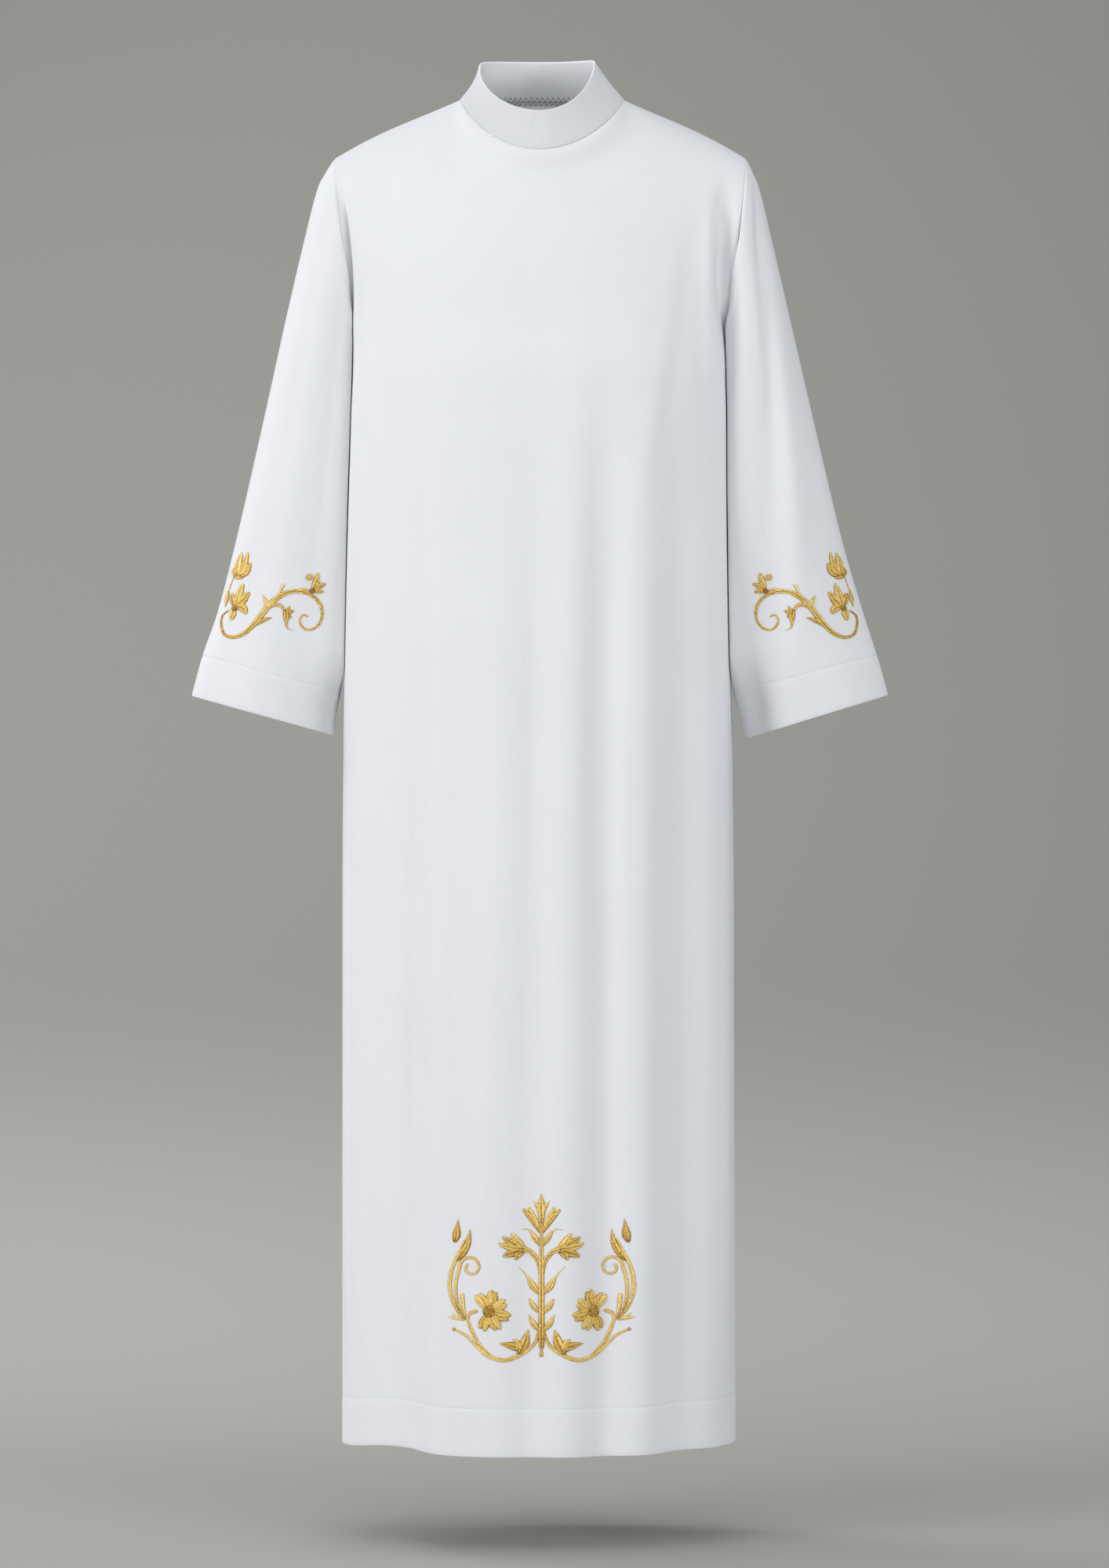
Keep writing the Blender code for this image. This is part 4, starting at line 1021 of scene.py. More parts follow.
def make_underlap(scene):
    """The strip under the opening of the left shoulder seam, moved in from both panels' own cloth."""
    surfaces = {}
    for side in (FRONT, BACK):
        cloth = panel_cloth(side)
        name = "front" if side == FRONT else "back"
        share = NECK_COLUMNS[name] / (NECK_COLUMNS[name] + 2 * SHOULDER_COLUMNS)
        wanted = share + (1 - share) * np.linspace(*UNDERLAP_SHARES)
        surfaces[side] = tuple(
            np.moveaxis(smooth_through(wanted, cloth.columns, np.moveaxis(part, 1, 0)), 0, 1)
            for part in (cloth.outer[:UNDERLAP_PANEL_ROWS], cloth.normals[:UNDERLAP_PANEL_ROWS])
        )
    reaches = np.linspace(*UNDERLAP_REACH, UNDERLAP_ROWS)
    rows = [row_down_cloth(*surfaces[BACK], reach) for reach in reaches[::-1]]
    ridge = (surfaces[FRONT][0][0] + surfaces[BACK][0][0]) / 2
    up = unit(surfaces[FRONT][1][0] * np.array([1, 0, 1]))
    rows.append((ridge - up * 2 * SEAM_GAP, up))
    rows += [row_down_cloth(*surfaces[FRONT], reach) for reach in reaches]
    surface = np.stack([row[0] for row in rows])
    normals = np.stack([row[1] for row in rows])
    outer = surface - normals * (SOLID_CLOTH + 2 * SEAM_GAP)
    v = lengths_along(outer)
    u = lengths_along(outer[UNDERLAP_ROWS])
    strip = Cloth(outer, normals, u, v, v, np.zeros_like(v), v[:, 0], v[0])
    inner = outer - normals * UNDERLAP_CLOTH
    piece = cloth_shell("shoulder_underlap_shell", strip, inner, False, 1.0, 1.0)
    dress_node(piece, "shoulder_underlap", cloth_material(scene.alb_colours))
    return piece


# Stitches

# A stitch: how far it is to the next in its own lengths, its rings and the points round each, how far its
# ends sink and its middle rises in widths of its thread, and a step along the path, in metres, to aim it by
STITCH_PITCH = 1.3
STITCH_RINGS = 7
STITCH_ROUND = 6
STITCH_SINK = 0.5
STITCH_RISE = 0.2
STITCH_AIM = 1e-4
# A column of a panel well away from its side seams
PLAIN_COLUMN = 60
COLLAR_STITCH_DROP = 0.0030
# The overlocked seam: two rows inside the collar, each by how far it is from the foot and how it slants,
# and one on the back panel below them. It keeps this many columns clear of the opening and of the band's
# end, and takes this share of the back neck and these upper rows of the panel. Its thread is darker, as
# painted shade inside the neck.
OVERLOCK_ROWS = ((0.0014, 1.3), (0.0042, -1.1))
OVERLOCK_PANEL_ROW = (0.0034, 0.4)
OVERLOCK_IN = 3
OVERLOCK_SHARE = 0.97
OVERLOCK_PANEL_ROWS = 40
OVERLOCK_PAINTED_SHADE = 0.28


def on_cloth(cloth, row, place, closed=False):
    """The cloth's point and normal at these row and column numbers, linearly between the grid's."""
    last_row, last_column = cloth.outer.shape[0] - 2, cloth.outer.shape[1] - (1 if closed else 2)
    r = np.clip(np.floor(row).astype(int), 0, last_row)
    c = np.clip(np.floor(place).astype(int), 0, last_column)
    next_c = (c + 1) % cloth.outer.shape[1]
    f, g = (row - r)[..., None], (place - c)[..., None]
    point, normal = (mix_of_four(part, r, c, next_c, f, g) for part in (cloth.outer, cloth.normals))
    return point, unit(normal)


def stitches_along(path, normals, length, thread, slant=0.0):
    """One small bead of thread for each stitch along a path: a round bar whose radius falls with the fourth
    power of the place along it and whose ends sink with the square, copied to every place at once."""
    reached = lengths_along(path)
    count = max(int(reached[-1] / (length * STITCH_PITCH)), 1)
    middles = (np.arange(count) + 0.5) * reached[-1] / count

    def at(values, distance):
        return np.stack([np.interp(distance, reached, values[:, k]) for k in range(3)], axis=-1)

    place, up = at(path, middles), unit(at(normals, middles))
    along = unit(at(path, middles + STITCH_AIM) - at(path, middles - STITCH_AIM))
    aside = unit(np.cross(up, along))
    along = unit(along + aside * slant)
    aside = unit(np.cross(up, along))
    t = np.linspace(-1, 1, STITCH_RINGS)[:, None]
    angle = np.arange(STITCH_ROUND) * 2 * np.pi / STITCH_ROUND
    thick = thread / 2 * np.sqrt(np.clip(1 - t**4, 0, 1))
    reach = t * length / 2 + 0 * angle
    side = thick * np.cos(angle)
    rise = thick * np.sin(angle) - thread * STITCH_SINK * t**2 + thread * STITCH_RISE
    points = (
        place[:, None, None]
        + along[:, None, None] * reach[..., None]
        + aside[:, None, None] * side[..., None]
        + up[:, None, None] * rise[..., None]
    )
    return points.reshape(-1, STITCH_RINGS, STITCH_ROUND, 3)


def ring_quads(index):
    """The four corner numbers of each face between neighbouring rings of points, closed round."""
    index = np.concatenate([index, index[..., :1]], axis=-1)
    corners = (index[..., :-1, :-1], index[..., 1:, :-1], index[..., 1:, 1:], index[..., :-1, 1:])
    return np.stack(corners, axis=-1).reshape(-1, 4)


def tubes_mesh(name, tubes, material):
    """Closed tubes of rings, all of the same count, as one piece."""
    count, rings, around = tubes.shape[:3]
    index = np.arange(count * rings * around).reshape(count, rings, around)
    u = np.linspace(0, 1, rings)[None, :, None] + 0 * index
    v = np.linspace(0, 1, around)[None, None, :] + 0 * index
    uv = np.stack([u, v], axis=-1).reshape(-1, 2)
    faces = ring_quads(index)
    piece = piece_from_grid(name, tubes.reshape(-1, 3), faces, uv[faces].reshape(-1, 2))
    piece.data.materials.append(material)
    return piece


def make_hem_stitching(scene):
    """A row of stitches round the top of the turned-up hem, and one round each sleeve's."""
    sizes = scene.alb_sizes
    rows = []
    for side in (FRONT, BACK):
        cloth = panel_cloth(side)
        row = int(np.argmin(np.abs(cloth.v[:, PLAIN_COLUMN] + HEM_DEPTH)))
        inside = slice(2, -2)
        path, up = cloth.outer[row, inside], cloth.normals[row, inside]
        rows.append(stitches_along(path, up, sizes.stitch, sizes.thread))
    for arm in (RIGHT_ARM, LEFT_ARM):
        cloth = sleeve_cloth(arm)
        row = int(np.argmin(np.abs(cloth.v[:, 0] + CUFF_DEPTH)))
        ring = np.concatenate([cloth.outer[row], cloth.outer[row, :1]])
        up = np.concatenate([cloth.normals[row], cloth.normals[row, :1]])
        rows.append(stitches_along(ring, up, sizes.stitch, sizes.thread))
    return tubes_mesh("hem_stitching", np.concatenate(rows), thread_material(scene.alb_colours))


def make_collar_stitching(scene):
    """A row of stitches just above the collar's neck seam, and the overlocked seam inside the back neck."""
    sizes = scene.alb_sizes
    band = collar_band()
    outside = band.outer + band.normals * COLLAR_PROUD
    path, up = row_down_cloth(outside, band.normals, COLLAR_STITCH_DROP)
    stitches = stitches_along(path[2:-2], up[2:-2], sizes.stitch, sizes.thread)
    tubes_mesh("collar_stitching", stitches, thread_material(scene.alb_colours))
    start = NECK_COLUMNS["front"] * FINER + OVERLOCK_IN
    thread = sizes.overlock / 5
    inside = band.outer - band.normals * (sizes.collar - COLLAR_PROUD)
    rows = []
    for distance, slant in OVERLOCK_ROWS:
        path, up = row_down_cloth(inside, -band.normals, distance)
        seam = slice(start, -1 - OVERLOCK_IN)
        rows.append(stitches_along(path[seam], up[seam], sizes.overlock, thread, slant))
    back = panel_cloth(BACK)
    share = NECK_COLUMNS["back"] / (NECK_COLUMNS["back"] + 2 * SHOULDER_COLUMNS)
    neck = slice(*np.searchsorted(back.columns, (-share * OVERLOCK_SHARE, share * OVERLOCK_SHARE)))
    lining = (back.outer - back.normals * sizes.cloth)[:OVERLOCK_PANEL_ROWS, neck]
    distance, slant = OVERLOCK_PANEL_ROW
    path, up = row_down_cloth(lining, -back.normals[:OVERLOCK_PANEL_ROWS, neck], distance)
    rows.append(stitches_along(path, up, sizes.overlock, thread, slant))
    # The overlock thread is darkened as painted shade inside the neck
    overlock = thread_material(scene.alb_colours, "overlock_thread", OVERLOCK_PAINTED_SHADE)
    return tubes_mesh("overlock_stitching", np.concatenate(rows), overlock)


# Embroidery

# A strand: its rings' spacing and the least number of steps, the share by which they crowd at its ends, how
# blunt the ends are in half widths, the points over its dome, the half width from which it has its full
# rise and the least share of it, its foot's places across and their depth as a share of the rise, and how
# far its two ends sink
STRAND_STEP = 0.0011
STRAND_LEAST = 8
STRAND_CROWDS = 0.35
STRAND_BLUNT = 0.35
STRAND_DOME = 9
STRAND_FULL_HALF = 0.0030
STRAND_LEAST_RISE = 0.12
STRAND_FOOT = (0.5, -0.5)
STRAND_FOOT_SINK = 0.12
STRAND_END_SINK = 0.00005
# Its groove's width, how its tone darkens at its start, the painted shade along its edges and in its groove,
# and the painted highlight that keeps its back bright
GROOVE_WIDTH = 0.22
START_TONE = 0.35
START_WIDTH = 0.22
EDGE_PAINTED_SHADE = 0.9
GROOVE_PAINTED_SHADE = 2.0
BACK_PAINTED_HIGHLIGHT = 0.30


def strand_grid(strand, rise):
    """A satin strand as rings: a smooth line through its points, its width spread along it, a domed top
    with a groove in its middle, a flat foot, and both ends drawn to a point. Returns x, y, height, how far
    along and across in metres, and tone, with painted shade along its edges and in its groove and a painted
    highlight over its back."""
    control = np.array(strand.points, float) / 1000
    known = lengths_along(control)
    steps = max(int(known[-1] / STRAND_STEP), STRAND_LEAST)
    crowded = (1 - np.cos(np.linspace(0, np.pi, steps + 1))) / 2
    share = STRAND_CROWDS * crowded + (1 - STRAND_CROWDS) * np.linspace(0, 1, steps + 1)
    line = smooth_through(share * known[-1], known, control)
    widths = np.array(strand.widths, float) / 1000
    spread = np.linspace(0, 1, len(widths))
    half = smooth_through(share, spread, widths) / 2
    reached = lengths_along(line)
    blunt = np.minimum(reached, reached[-1] - reached)
    half = np.clip(half, 0.0001, None) * np.sqrt(np.clip(blunt / (blunt + half * STRAND_BLUNT), 0, 1))
    tangent = unit(np.gradient(line, axis=0))
    aside = np.stack([-tangent[:, 1], tangent[:, 0]], axis=-1)
    angle = np.linspace(np.pi, 0, STRAND_DOME)
    top_across, top_rise = np.cos(angle), np.sin(angle) ** 0.8
    top_rise = top_rise * (1 - strand.groove * bell(top_across, GROOVE_WIDTH))
    across = np.concatenate([top_across, STRAND_FOOT])
    raised = np.concatenate([top_rise, np.full(len(STRAND_FOOT), -STRAND_FOOT_SINK)])
    domed = rise * np.clip(half / STRAND_FULL_HALF, STRAND_LEAST_RISE, 1) ** 0.7
    plane = line[:, None] + aside[:, None] * (half[:, None] * across)[..., None]
    height = domed[:, None] * raised
    for end in (0, -1):
        height[end] = -STRAND_END_SINK
        plane[end] = line[end]
    u = reached[:, None] + 0 * height
    v = half[:, None] * across
    at_start = START_TONE * bell(share, START_WIDTH)[:, None]
    at_groove = GROOVE_PAINTED_SHADE * strand.groove * bell(across, GROOVE_WIDTH)
    # The tone darkens at the start; painted shade darkens the edges and the groove, and a painted highlight
    # lightens the back
    darker = at_start + EDGE_PAINTED_SHADE * np.abs(across) ** 3 + at_groove
    tone = np.clip(strand.tone + darker - BACK_PAINTED_HIGHLIGHT, 0, 1)
    return plane[..., 0], plane[..., 1], height, u, v, tone


def volute_strand(volute):
    """The lead-in points, then a spiral whose radius shrinks evenly with its angle."""
    angle = np.radians(np.linspace(*volute.degrees, VOLUTE_POINTS))
    radius = np.linspace(*volute.radii, VOLUTE_POINTS)
    spiral = np.stack([
        volute.middle[0] + radius * np.cos(angle), volute.middle[1] + radius * np.sin(angle)
    ], axis=-1)
    points = (*volute.lead, *map(tuple, spiral))
    return Strand(points, volute.widths, VOLUTE_GROOVE, volute.tone)


def flower_strands(flower):
    """Petals a step apart about the middle, each as two lobes side by side; the stem joins in the gap."""
    strands = []
    for k in range(flower.petals):
        turn = np.radians(flower.first + flower.step * k)
        outwards = np.array([np.cos(turn), np.sin(turn)])
        aside = np.array([-outwards[1], outwards[0]])
        for lean, share in ((-1, 1.0), (1, 0.95)):
            reach = flower.length * share * (1 + 0.06 * np.sin(2.4 * k))
            start = flower.middle + 3.5 * outwards
            middle = flower.middle + reach * 0.58 * outwards + lean * flower.width * 0.26 * aside
            end = flower.middle + reach * outwards + lean * flower.width * 0.27 * aside
            widths = (3.4, flower.width * 0.80, flower.width * 0.86, 3.8)
            tone = 0.2 + 0.12 * (k % 2) + 0.14 * (lean > 0)
            strands.append(Strand((tuple(start), tuple(middle), tuple(end)), widths, 0.25, tone))
    return strands


def knot_grid(x, y, radius, tone, rise):
    """A domed knot: rings that shrink with the cosine of their height."""
    t = np.linspace(0, np.pi / 2, 6)[:, None]
    angle = np.arange(12) * np.pi / 6
    reach = np.array([1.0, 1.0, 0.9, 0.7, 0.4, 0.0])[:, None] * radius / 1000
    height = rise * np.sin(t) - 0.0001 + 0 * angle
    px, py = x / 1000 + reach * np.cos(angle), y / 1000 + reach * np.sin(angle)
    return px, py, height, t * radius / 1000 + 0 * angle, reach * angle, np.full(px.shape, tone)


def heart_knots(middle, radius):
    """Small knots on two circles, as at the heart of a flower."""
    knots = [(*middle, radius, 0.70)]
    for count, share in ((11, 0.74), (6, 0.36)):
        for k in range(count):
            turn = 2 * np.pi * k / count + share
            spot = (middle[0] + radius * share * np.cos(turn), middle[1] + radius * share * np.sin(turn))
            knots.append((*spot, 1.2, 0.25 + 0.7 * ((k * 7 + count) % 5) / 4))
    return knots


# Strands that cross lie on layers, each this much higher.
LAYERS = 5
LAYER_LIFT = 0.00004


def embroidery(name, patches, place, material):
    """All patches on the cloth as one piece. place turns flat x, y into points and normals of the cloth."""
    points, faces, uvs, tones, start = [], [], [], [], 0
    for layer, (x, y, height, u, v, tone) in enumerate(patches):
        spot, normal = place(x, y)
        lifted = height + LAYER_LIFT * (layer % LAYERS)
        points.append((spot + normal * lifted[..., None]).reshape(-1, 3))
        faces.append(ring_quads(start + np.arange(x.size).reshape(x.shape)))
        uvs.append(np.stack([u, v], axis=-1).reshape(-1, 2))
        tones.append(tone.ravel())
        start += x.size
    points, faces, uv, tones = (np.concatenate(part) for part in (points, faces, uvs, tones))
    piece = piece_from_grid(name, points, faces, uv[faces].reshape(-1, 2), tones)
    piece.data.materials.append(material)
    return piece


def mirrored(patch):
    """The same patch on the other side of the motif's middle."""
    x, y, *rest = patch
    return (-x, y, *rest)


def hem_patches(rise):
    """The hem motif: its side strands, volute and flower on both sides, and its stem in the middle."""
    strands = [*HEM_SIDE, volute_strand(HEM_VOLUTE), *flower_strands(HEM_FLOWER)]
    side = [strand_grid(strand, rise) for strand in strands]
    knots = [knot_grid(*knot, rise * 0.9) for knot in heart_knots(HEM_FLOWER.middle, HEM_FLOWER.heart)]
    side += [(x, y, height + rise * 0.45, *rest) for x, y, height, *rest in knots]
    stem = [strand_grid(strand, rise * 1.15) for strand in HEM_STEM]
    return side + [mirrored(patch) for patch in side] + stem


def place_on_hem(x, y):
    """Where a flat point of the hem motif lies on the front panel, from its place across and its drop."""
    cloth = panel_cloth(FRONT)
    world_x, drop = x + HEM_MIDDLE[0], -(y + HEM_MIDDLE[1])
    sizes = section_sizes(drop)
    half_width = np.where(world_x < 0, sizes["right"], sizes["left"])
    share = np.clip(np.abs(world_x) / half_width, 0, 1) ** (sizes["square"] / 2)
    across = np.sign(world_x) * 2 / np.pi * np.arcsin(share)
    chest = chest_line(across)
    fall = (drop - chest) / (HEM_DROP - HEM_DEPTH - ABOVE_HEM - chest)
    last_yoke_row = YOKE_ROWS * FINER + len(YOKE_CLOSE)
    row = last_yoke_row + fall * SKIRT_ROWS
    return on_cloth(cloth, row, np.interp(across, cloth.columns, np.arange(len(cloth.columns))))


def place_on_cuff(arm):
    """Where a flat point of the cuff motif lies on a sleeve, seen from the front: the ring whose line it is
    on, and the turn whose cosine gives its distance from the outer edge, both then corrected a few times by
    how far the cloth's point there is from the wanted one."""
    cloth = sleeve_cloth(arm)
    table = SLEEVE_RINGS[arm]
    index = np.arange(len(table), dtype=float)
    stations = np.linspace(*CUFF_PLACING_RINGS)
    at = {name: smooth_through(stations, index, column(table, name)) for name in SleeveRing._fields}

    def spot_on(flat_x, flat_z):
        half = np.stack([at["outer"] - at["inner"], at["inner_drop"] - at["outer_drop"]], axis=-1) / 2
        off_x, off_z = flat_x[:, None] - at["outer"], flat_z[:, None] + at["outer_drop"]
        beside = off_x * half[:, 1] - off_z * half[:, 0]
        first = np.argmax(np.diff(np.sign(beside), axis=1) != 0, axis=1)
        each = np.arange(len(flat_x))
        low, high = beside[each, first], beside[each, first + 1]
        share = low / (low - high)
        station = stations[first] + share * (stations[1] - stations[0])
        size = np.linalg.norm(half, axis=-1)[first]
        reach = np.hypot(off_x[each, first], off_z[each, first])
        turn = np.arccos(np.clip(1 - reach / size, -1, 1))
        row = np.interp(station, cloth.rows, np.arange(len(cloth.rows)))
        return on_cloth(cloth, row, turn / cloth.columns[1], closed=True)

    def place(x, y):
        wanted_x, wanted_z = (CUFF_CORNER[0] - x).ravel(), (CUFF_CORNER[1] + y).ravel()
        flat_x, flat_z = wanted_x, wanted_z
        for _ in range(CUFF_PLACING_ROUNDS):
            spot, normal = spot_on(flat_x, flat_z)
            flat_x = flat_x + CUFF_PLACING_SHARE * (wanted_x - arm * spot[:, 0])
            flat_z = flat_z + CUFF_PLACING_SHARE * (wanted_z - spot[:, 2])
        return spot.reshape(*x.shape, 3), normal.reshape(*x.shape, 3)

    return place


def make_hem_embroidery(scene):
    """The motif at the middle of the front hem."""
    patches = hem_patches(scene.alb_sizes.relief)
    return embroidery("hem_embroidery", patches, place_on_hem, gold_material(scene.alb_colours))


def make_cuff_embroidery(scene, arm):
    """The motif on the front of a cuff."""
    rise = scene.alb_sizes.relief
    patches = [strand_grid(strand, rise) for strand in CUFF_STRANDS]
    for x, y, radius, tone in CUFF_KNOTS:
        knot_x, knot_y, height, *rest = knot_grid(x, y, radius, tone, rise * 1.3)
        patches.append((knot_x, knot_y, height + rise * 0.5, *rest))
    name = "right_cuff_embroidery" if arm == RIGHT_ARM else "left_cuff_embroidery"
    return embroidery(name, patches, place_on_cuff(arm), gold_material(scene.alb_colours))


# Materials

# The weave: threads in a metre, how fine its slubs and its clouds of tone are, how far the slubs are drawn
# out along the cloth, and the clouds' share of the tone
THREADS = 1900.0
SLUBS = 260.0
CLOUDS = 9.0
SLUB_STRETCH = 0.12
CLOUD_SHARE = 0.6
# The satin: how a thread leans from its strand, as cosine and sine, and how fine its streaks are across,
# along and over the strand
THREAD_ALONG = 0.86
THREAD_LEAN = 0.5
FULL_TURN = 6.2832
STREAK_SCALES = (1500.0, 160.0, 400.0)

# Each finish: what the shader's own sockets hold
CLOTH_FINISH = {
    "Roughness": 0.82, "Sheen Weight": 0.22, "Sheen Roughness": 0.45, "Specular IOR Level": 0.35,
}
THREAD_FINISH = {"Roughness": 0.6, "Sheen Weight": 0.15}
GOLD_FINISH = {"Roughness": 0.36, "Metallic": 0.4}
STAGE_FINISH = {"Roughness": 0.9, "Specular IOR Level": 0.1}
# Each bump: its height in metres and its strength
CLOTH_BUMP = (0.00006, 0.6)
GOLD_BUMP = (0.00026, 0.8)
# Tones of the cloth and thread against their colour, dark and light, where the weave's shade has the
# cloth's, and how fine the thread's twist is
CLOTH_TONES = (0.965, 1.0)
CLOTH_TONES_AT = (0.30, 0.70)
THREAD_TONES = (0.80, 0.97)
THREAD_TWIST = 900.0
# The gold's streaks, as a factor and an offset, and where its middle tone lies
GOLD_STREAKS = (1.7, -0.85)
GOLD_MIDDLE = 0.42
# How far the floor lies below the origin, how much lighter the stage is painted there, as painted light on
# the floor, and the share a metre upwards by which that fades
FLOOR_DROP = 1.575
FLOOR_PAINTED_LIGHT = 1.55
FLOOR_FADE = 1.8


def node_group(name, inputs, outputs):
    """A new shader node group with these sockets, and its input and output nodes."""
    group = bpy.data.node_groups.new(name, "ShaderNodeTree")
    for socket, kind, default in inputs:
        made = group.interface.new_socket(name=socket, in_out="INPUT", socket_type=kind)
        if default is not None:
            made.default_value = default
    for socket, kind in outputs:
        group.interface.new_socket(name=socket, in_out="OUTPUT", socket_type=kind)
    return group, group.nodes.new("NodeGroupInput"), group.nodes.new("NodeGroupOutput")


def math_node(tree, operation, *values):
    """The output of a new math node with these numbers or links at its inputs."""
    node = tree.nodes.new("ShaderNodeMath")
    node.operation = operation
    for socket, value in zip(node.inputs, values):
        if isinstance(value, (int, float)):
            socket.default_value = value
        else:
            tree.links.new(value, socket)
    return node.outputs[0]


def noise(tree, vector, scale, detail=2.0):
    """The output of a new noise of this scale over these places."""
    node = tree.nodes.new("ShaderNodeTexNoise")
    node.inputs["Scale"].default_value = scale
    node.inputs["Detail"].default_value = detail
    tree.links.new(vector, node.inputs["Vector"])
    return node.outputs["Fac"]


def parts_of(tree, vector):
    """The three numbers of a vector."""
    split = tree.nodes.new("ShaderNodeSeparateXYZ")
    tree.links.new(vector, split.inputs[0])
    return split.outputs


def two_tones(tree, share, start, end, positions=(0.0, 1.0)):
    """A node that turns this share into a colour between start and end."""
    tint = tree.nodes.new("ShaderNodeValToRGB")
    for stop, position, colour in zip(tint.color_ramp.elements, positions, (start, end)):
        stop.position = position
        stop.color = (*colour, 1)
    tree.links.new(share, tint.inputs["Fac"])
    return tint


def painted(tree, name):
    """The value that the mesh carries under this name."""
    node = tree.nodes.new("ShaderNodeAttribute")
    node.attribute_name = name
    return node.outputs["Fac"]


def plain_weave_group():
    """Over and under: the product of two sines, one along each thread, with slubs of uneven thread."""
    if "Plain weave" in bpy.data.node_groups:
        return bpy.data.node_groups["Plain weave"]
    group, given, out = node_group(
        "Plain weave",
        (("Cloth place", "NodeSocketVector", None), ("Threads per metre", "NodeSocketFloat", THREADS)),
        (("Height", "NodeSocketFloat"), ("Shade", "NodeSocketFloat")),
    )
    across, along, _ = parts_of(group, given.outputs["Cloth place"])
    turns = math_node(group, "MULTIPLY", given.outputs["Threads per metre"], np.pi)
    warp = math_node(group, "SINE", math_node(group, "MULTIPLY", across, turns))
    weft = math_node(group, "SINE", math_node(group, "MULTIPLY", along, turns))
    weave = math_node(group, "MULTIPLY", warp, weft)
    stretch = group.nodes.new("ShaderNodeMapping")
    stretch.inputs["Scale"].default_value = (1.0, SLUB_STRETCH, 1.0)
    group.links.new(given.outputs["Cloth place"], stretch.inputs["Vector"])
    slub = noise(group, stretch.outputs["Vector"], SLUBS)
    cloud = noise(group, given.outputs["Cloth place"], CLOUDS, 3.0)
    height = math_node(group, "ADD", math_node(group, "MULTIPLY", weave, 0.5), slub)
    shade = math_node(
        group, "ADD",
        math_node(group, "MULTIPLY", cloud, CLOUD_SHARE),
        math_node(group, "MULTIPLY", slub, 1 - CLOUD_SHARE),
    )
    group.links.new(height, out.inputs["Height"])
    group.links.new(shade, out.inputs["Shade"])
    return group


def satin_thread_group():
    """Lines of thread that lean away from the strand's middle, with streaks of lighter and darker thread."""
    if "Satin thread" in bpy.data.node_groups:
        return bpy.data.node_groups["Satin thread"]
    group, given, out = node_group(
        "Satin thread",
        (("Strand place", "NodeSocketVector", None), ("Thread width", "NodeSocketFloat", 0.00045)),
        (("Height", "NodeSocketFloat"), ("Streak", "NodeSocketFloat")),
    )
    down, across, _ = parts_of(group, given.outputs["Strand place"])
    aside = math_node(group, "ABSOLUTE", across)
    along = math_node(group, "ADD", math_node(group, "MULTIPLY", down, THREAD_ALONG),
                      math_node(group, "MULTIPLY", aside, THREAD_LEAN))
    beside = math_node(group, "SUBTRACT", math_node(group, "MULTIPLY", aside, THREAD_ALONG),
                       math_node(group, "MULTIPLY", down, THREAD_LEAN))
    turns = math_node(group, "DIVIDE", FULL_TURN, given.outputs["Thread width"])
    line = math_node(group, "SINE", math_node(group, "MULTIPLY", beside, turns))
    place = group.nodes.new("ShaderNodeCombineXYZ")
    for part, scale, socket in zip((beside, along, across), STREAK_SCALES, place.inputs):
        group.links.new(math_node(group, "MULTIPLY", part, scale), socket)
    streak = noise(group, place.outputs[0], 1.0)
    height = math_node(group, "ADD", math_node(group, "MULTIPLY", line, 0.3), streak)
    group.links.new(height, out.inputs["Height"])
    group.links.new(streak, out.inputs["Streak"])
    return group


def new_material(name, finish):
    """A new material of this finish, its tree and its Principled shader."""
    material = bpy.data.materials.new(name)
    material.use_nodes = True
    surface = material.node_tree.nodes["Principled BSDF"]
    for socket, value in finish.items():
        surface.inputs[socket].default_value = value
    return material, material.node_tree, surface


def bump_into(tree, height, surface, distance, strength):
    """A bump of this height into the shader's normal."""
    bump = tree.nodes.new("ShaderNodeBump")
    bump.inputs["Distance"].default_value = distance
    bump.inputs["Strength"].default_value = strength
    tree.links.new(height, bump.inputs["Height"])
    tree.links.new(bump.outputs["Normal"], surface.inputs["Normal"])


def cloth_place(tree):
    """The place on the cloth, from the piece's own UV map."""
    place = tree.nodes.new("ShaderNodeUVMap")
    place.uv_map = "cloth"
    return place.outputs["UV"]


def cloth_material(colours, name="alb_cloth", painted_light_and_shade_from=None):
    """White plain-woven cloth with faint clouds of tone, scaled by the mesh's painted light and shade where
    an attribute is named.
    """
    if name in bpy.data.materials:
        return bpy.data.materials[name]
    material, tree, surface = new_material(name, CLOTH_FINISH)
    weave = tree.nodes.new("ShaderNodeGroup")
    weave.node_tree = plain_weave_group()
    tree.links.new(cloth_place(tree), weave.inputs["Cloth place"])
    tones = [np.array(colours.cloth) * tone for tone in CLOTH_TONES]
    shaded = two_tones(tree, weave.outputs["Shade"], *tones, CLOTH_TONES_AT).outputs["Color"]
    if painted_light_and_shade_from:
        mix = tree.nodes.new("ShaderNodeVectorMath")
        mix.operation = "SCALE"
        tree.links.new(shaded, mix.inputs[0])
        tree.links.new(painted(tree, painted_light_and_shade_from), mix.inputs["Scale"])
        shaded = mix.outputs[0]
    tree.links.new(shaded, surface.inputs["Base Color"])
    bump_into(tree, weave.outputs["Height"], surface, *CLOTH_BUMP)
    return material


def thread_material(colours, name="stitching_thread", shade=1.0):
    """Matt sewing thread of the cloth's colour times shade, which on the overlock is painted shade, its
    twist a fine noise.
    """
    if name in bpy.data.materials:
        return bpy.data.materials[name]
    material, tree, surface = new_material(name, THREAD_FINISH)
    place = tree.nodes.new("ShaderNodeTexCoord")
    twist = noise(tree, place.outputs["Object"], THREAD_TWIST)
    tones = [np.array(colours.cloth) * shade * tone for tone in THREAD_TONES]
    tint = two_tones(tree, twist, *tones)
    tree.links.new(tint.outputs["Color"], surface.inputs["Base Color"])
    return material


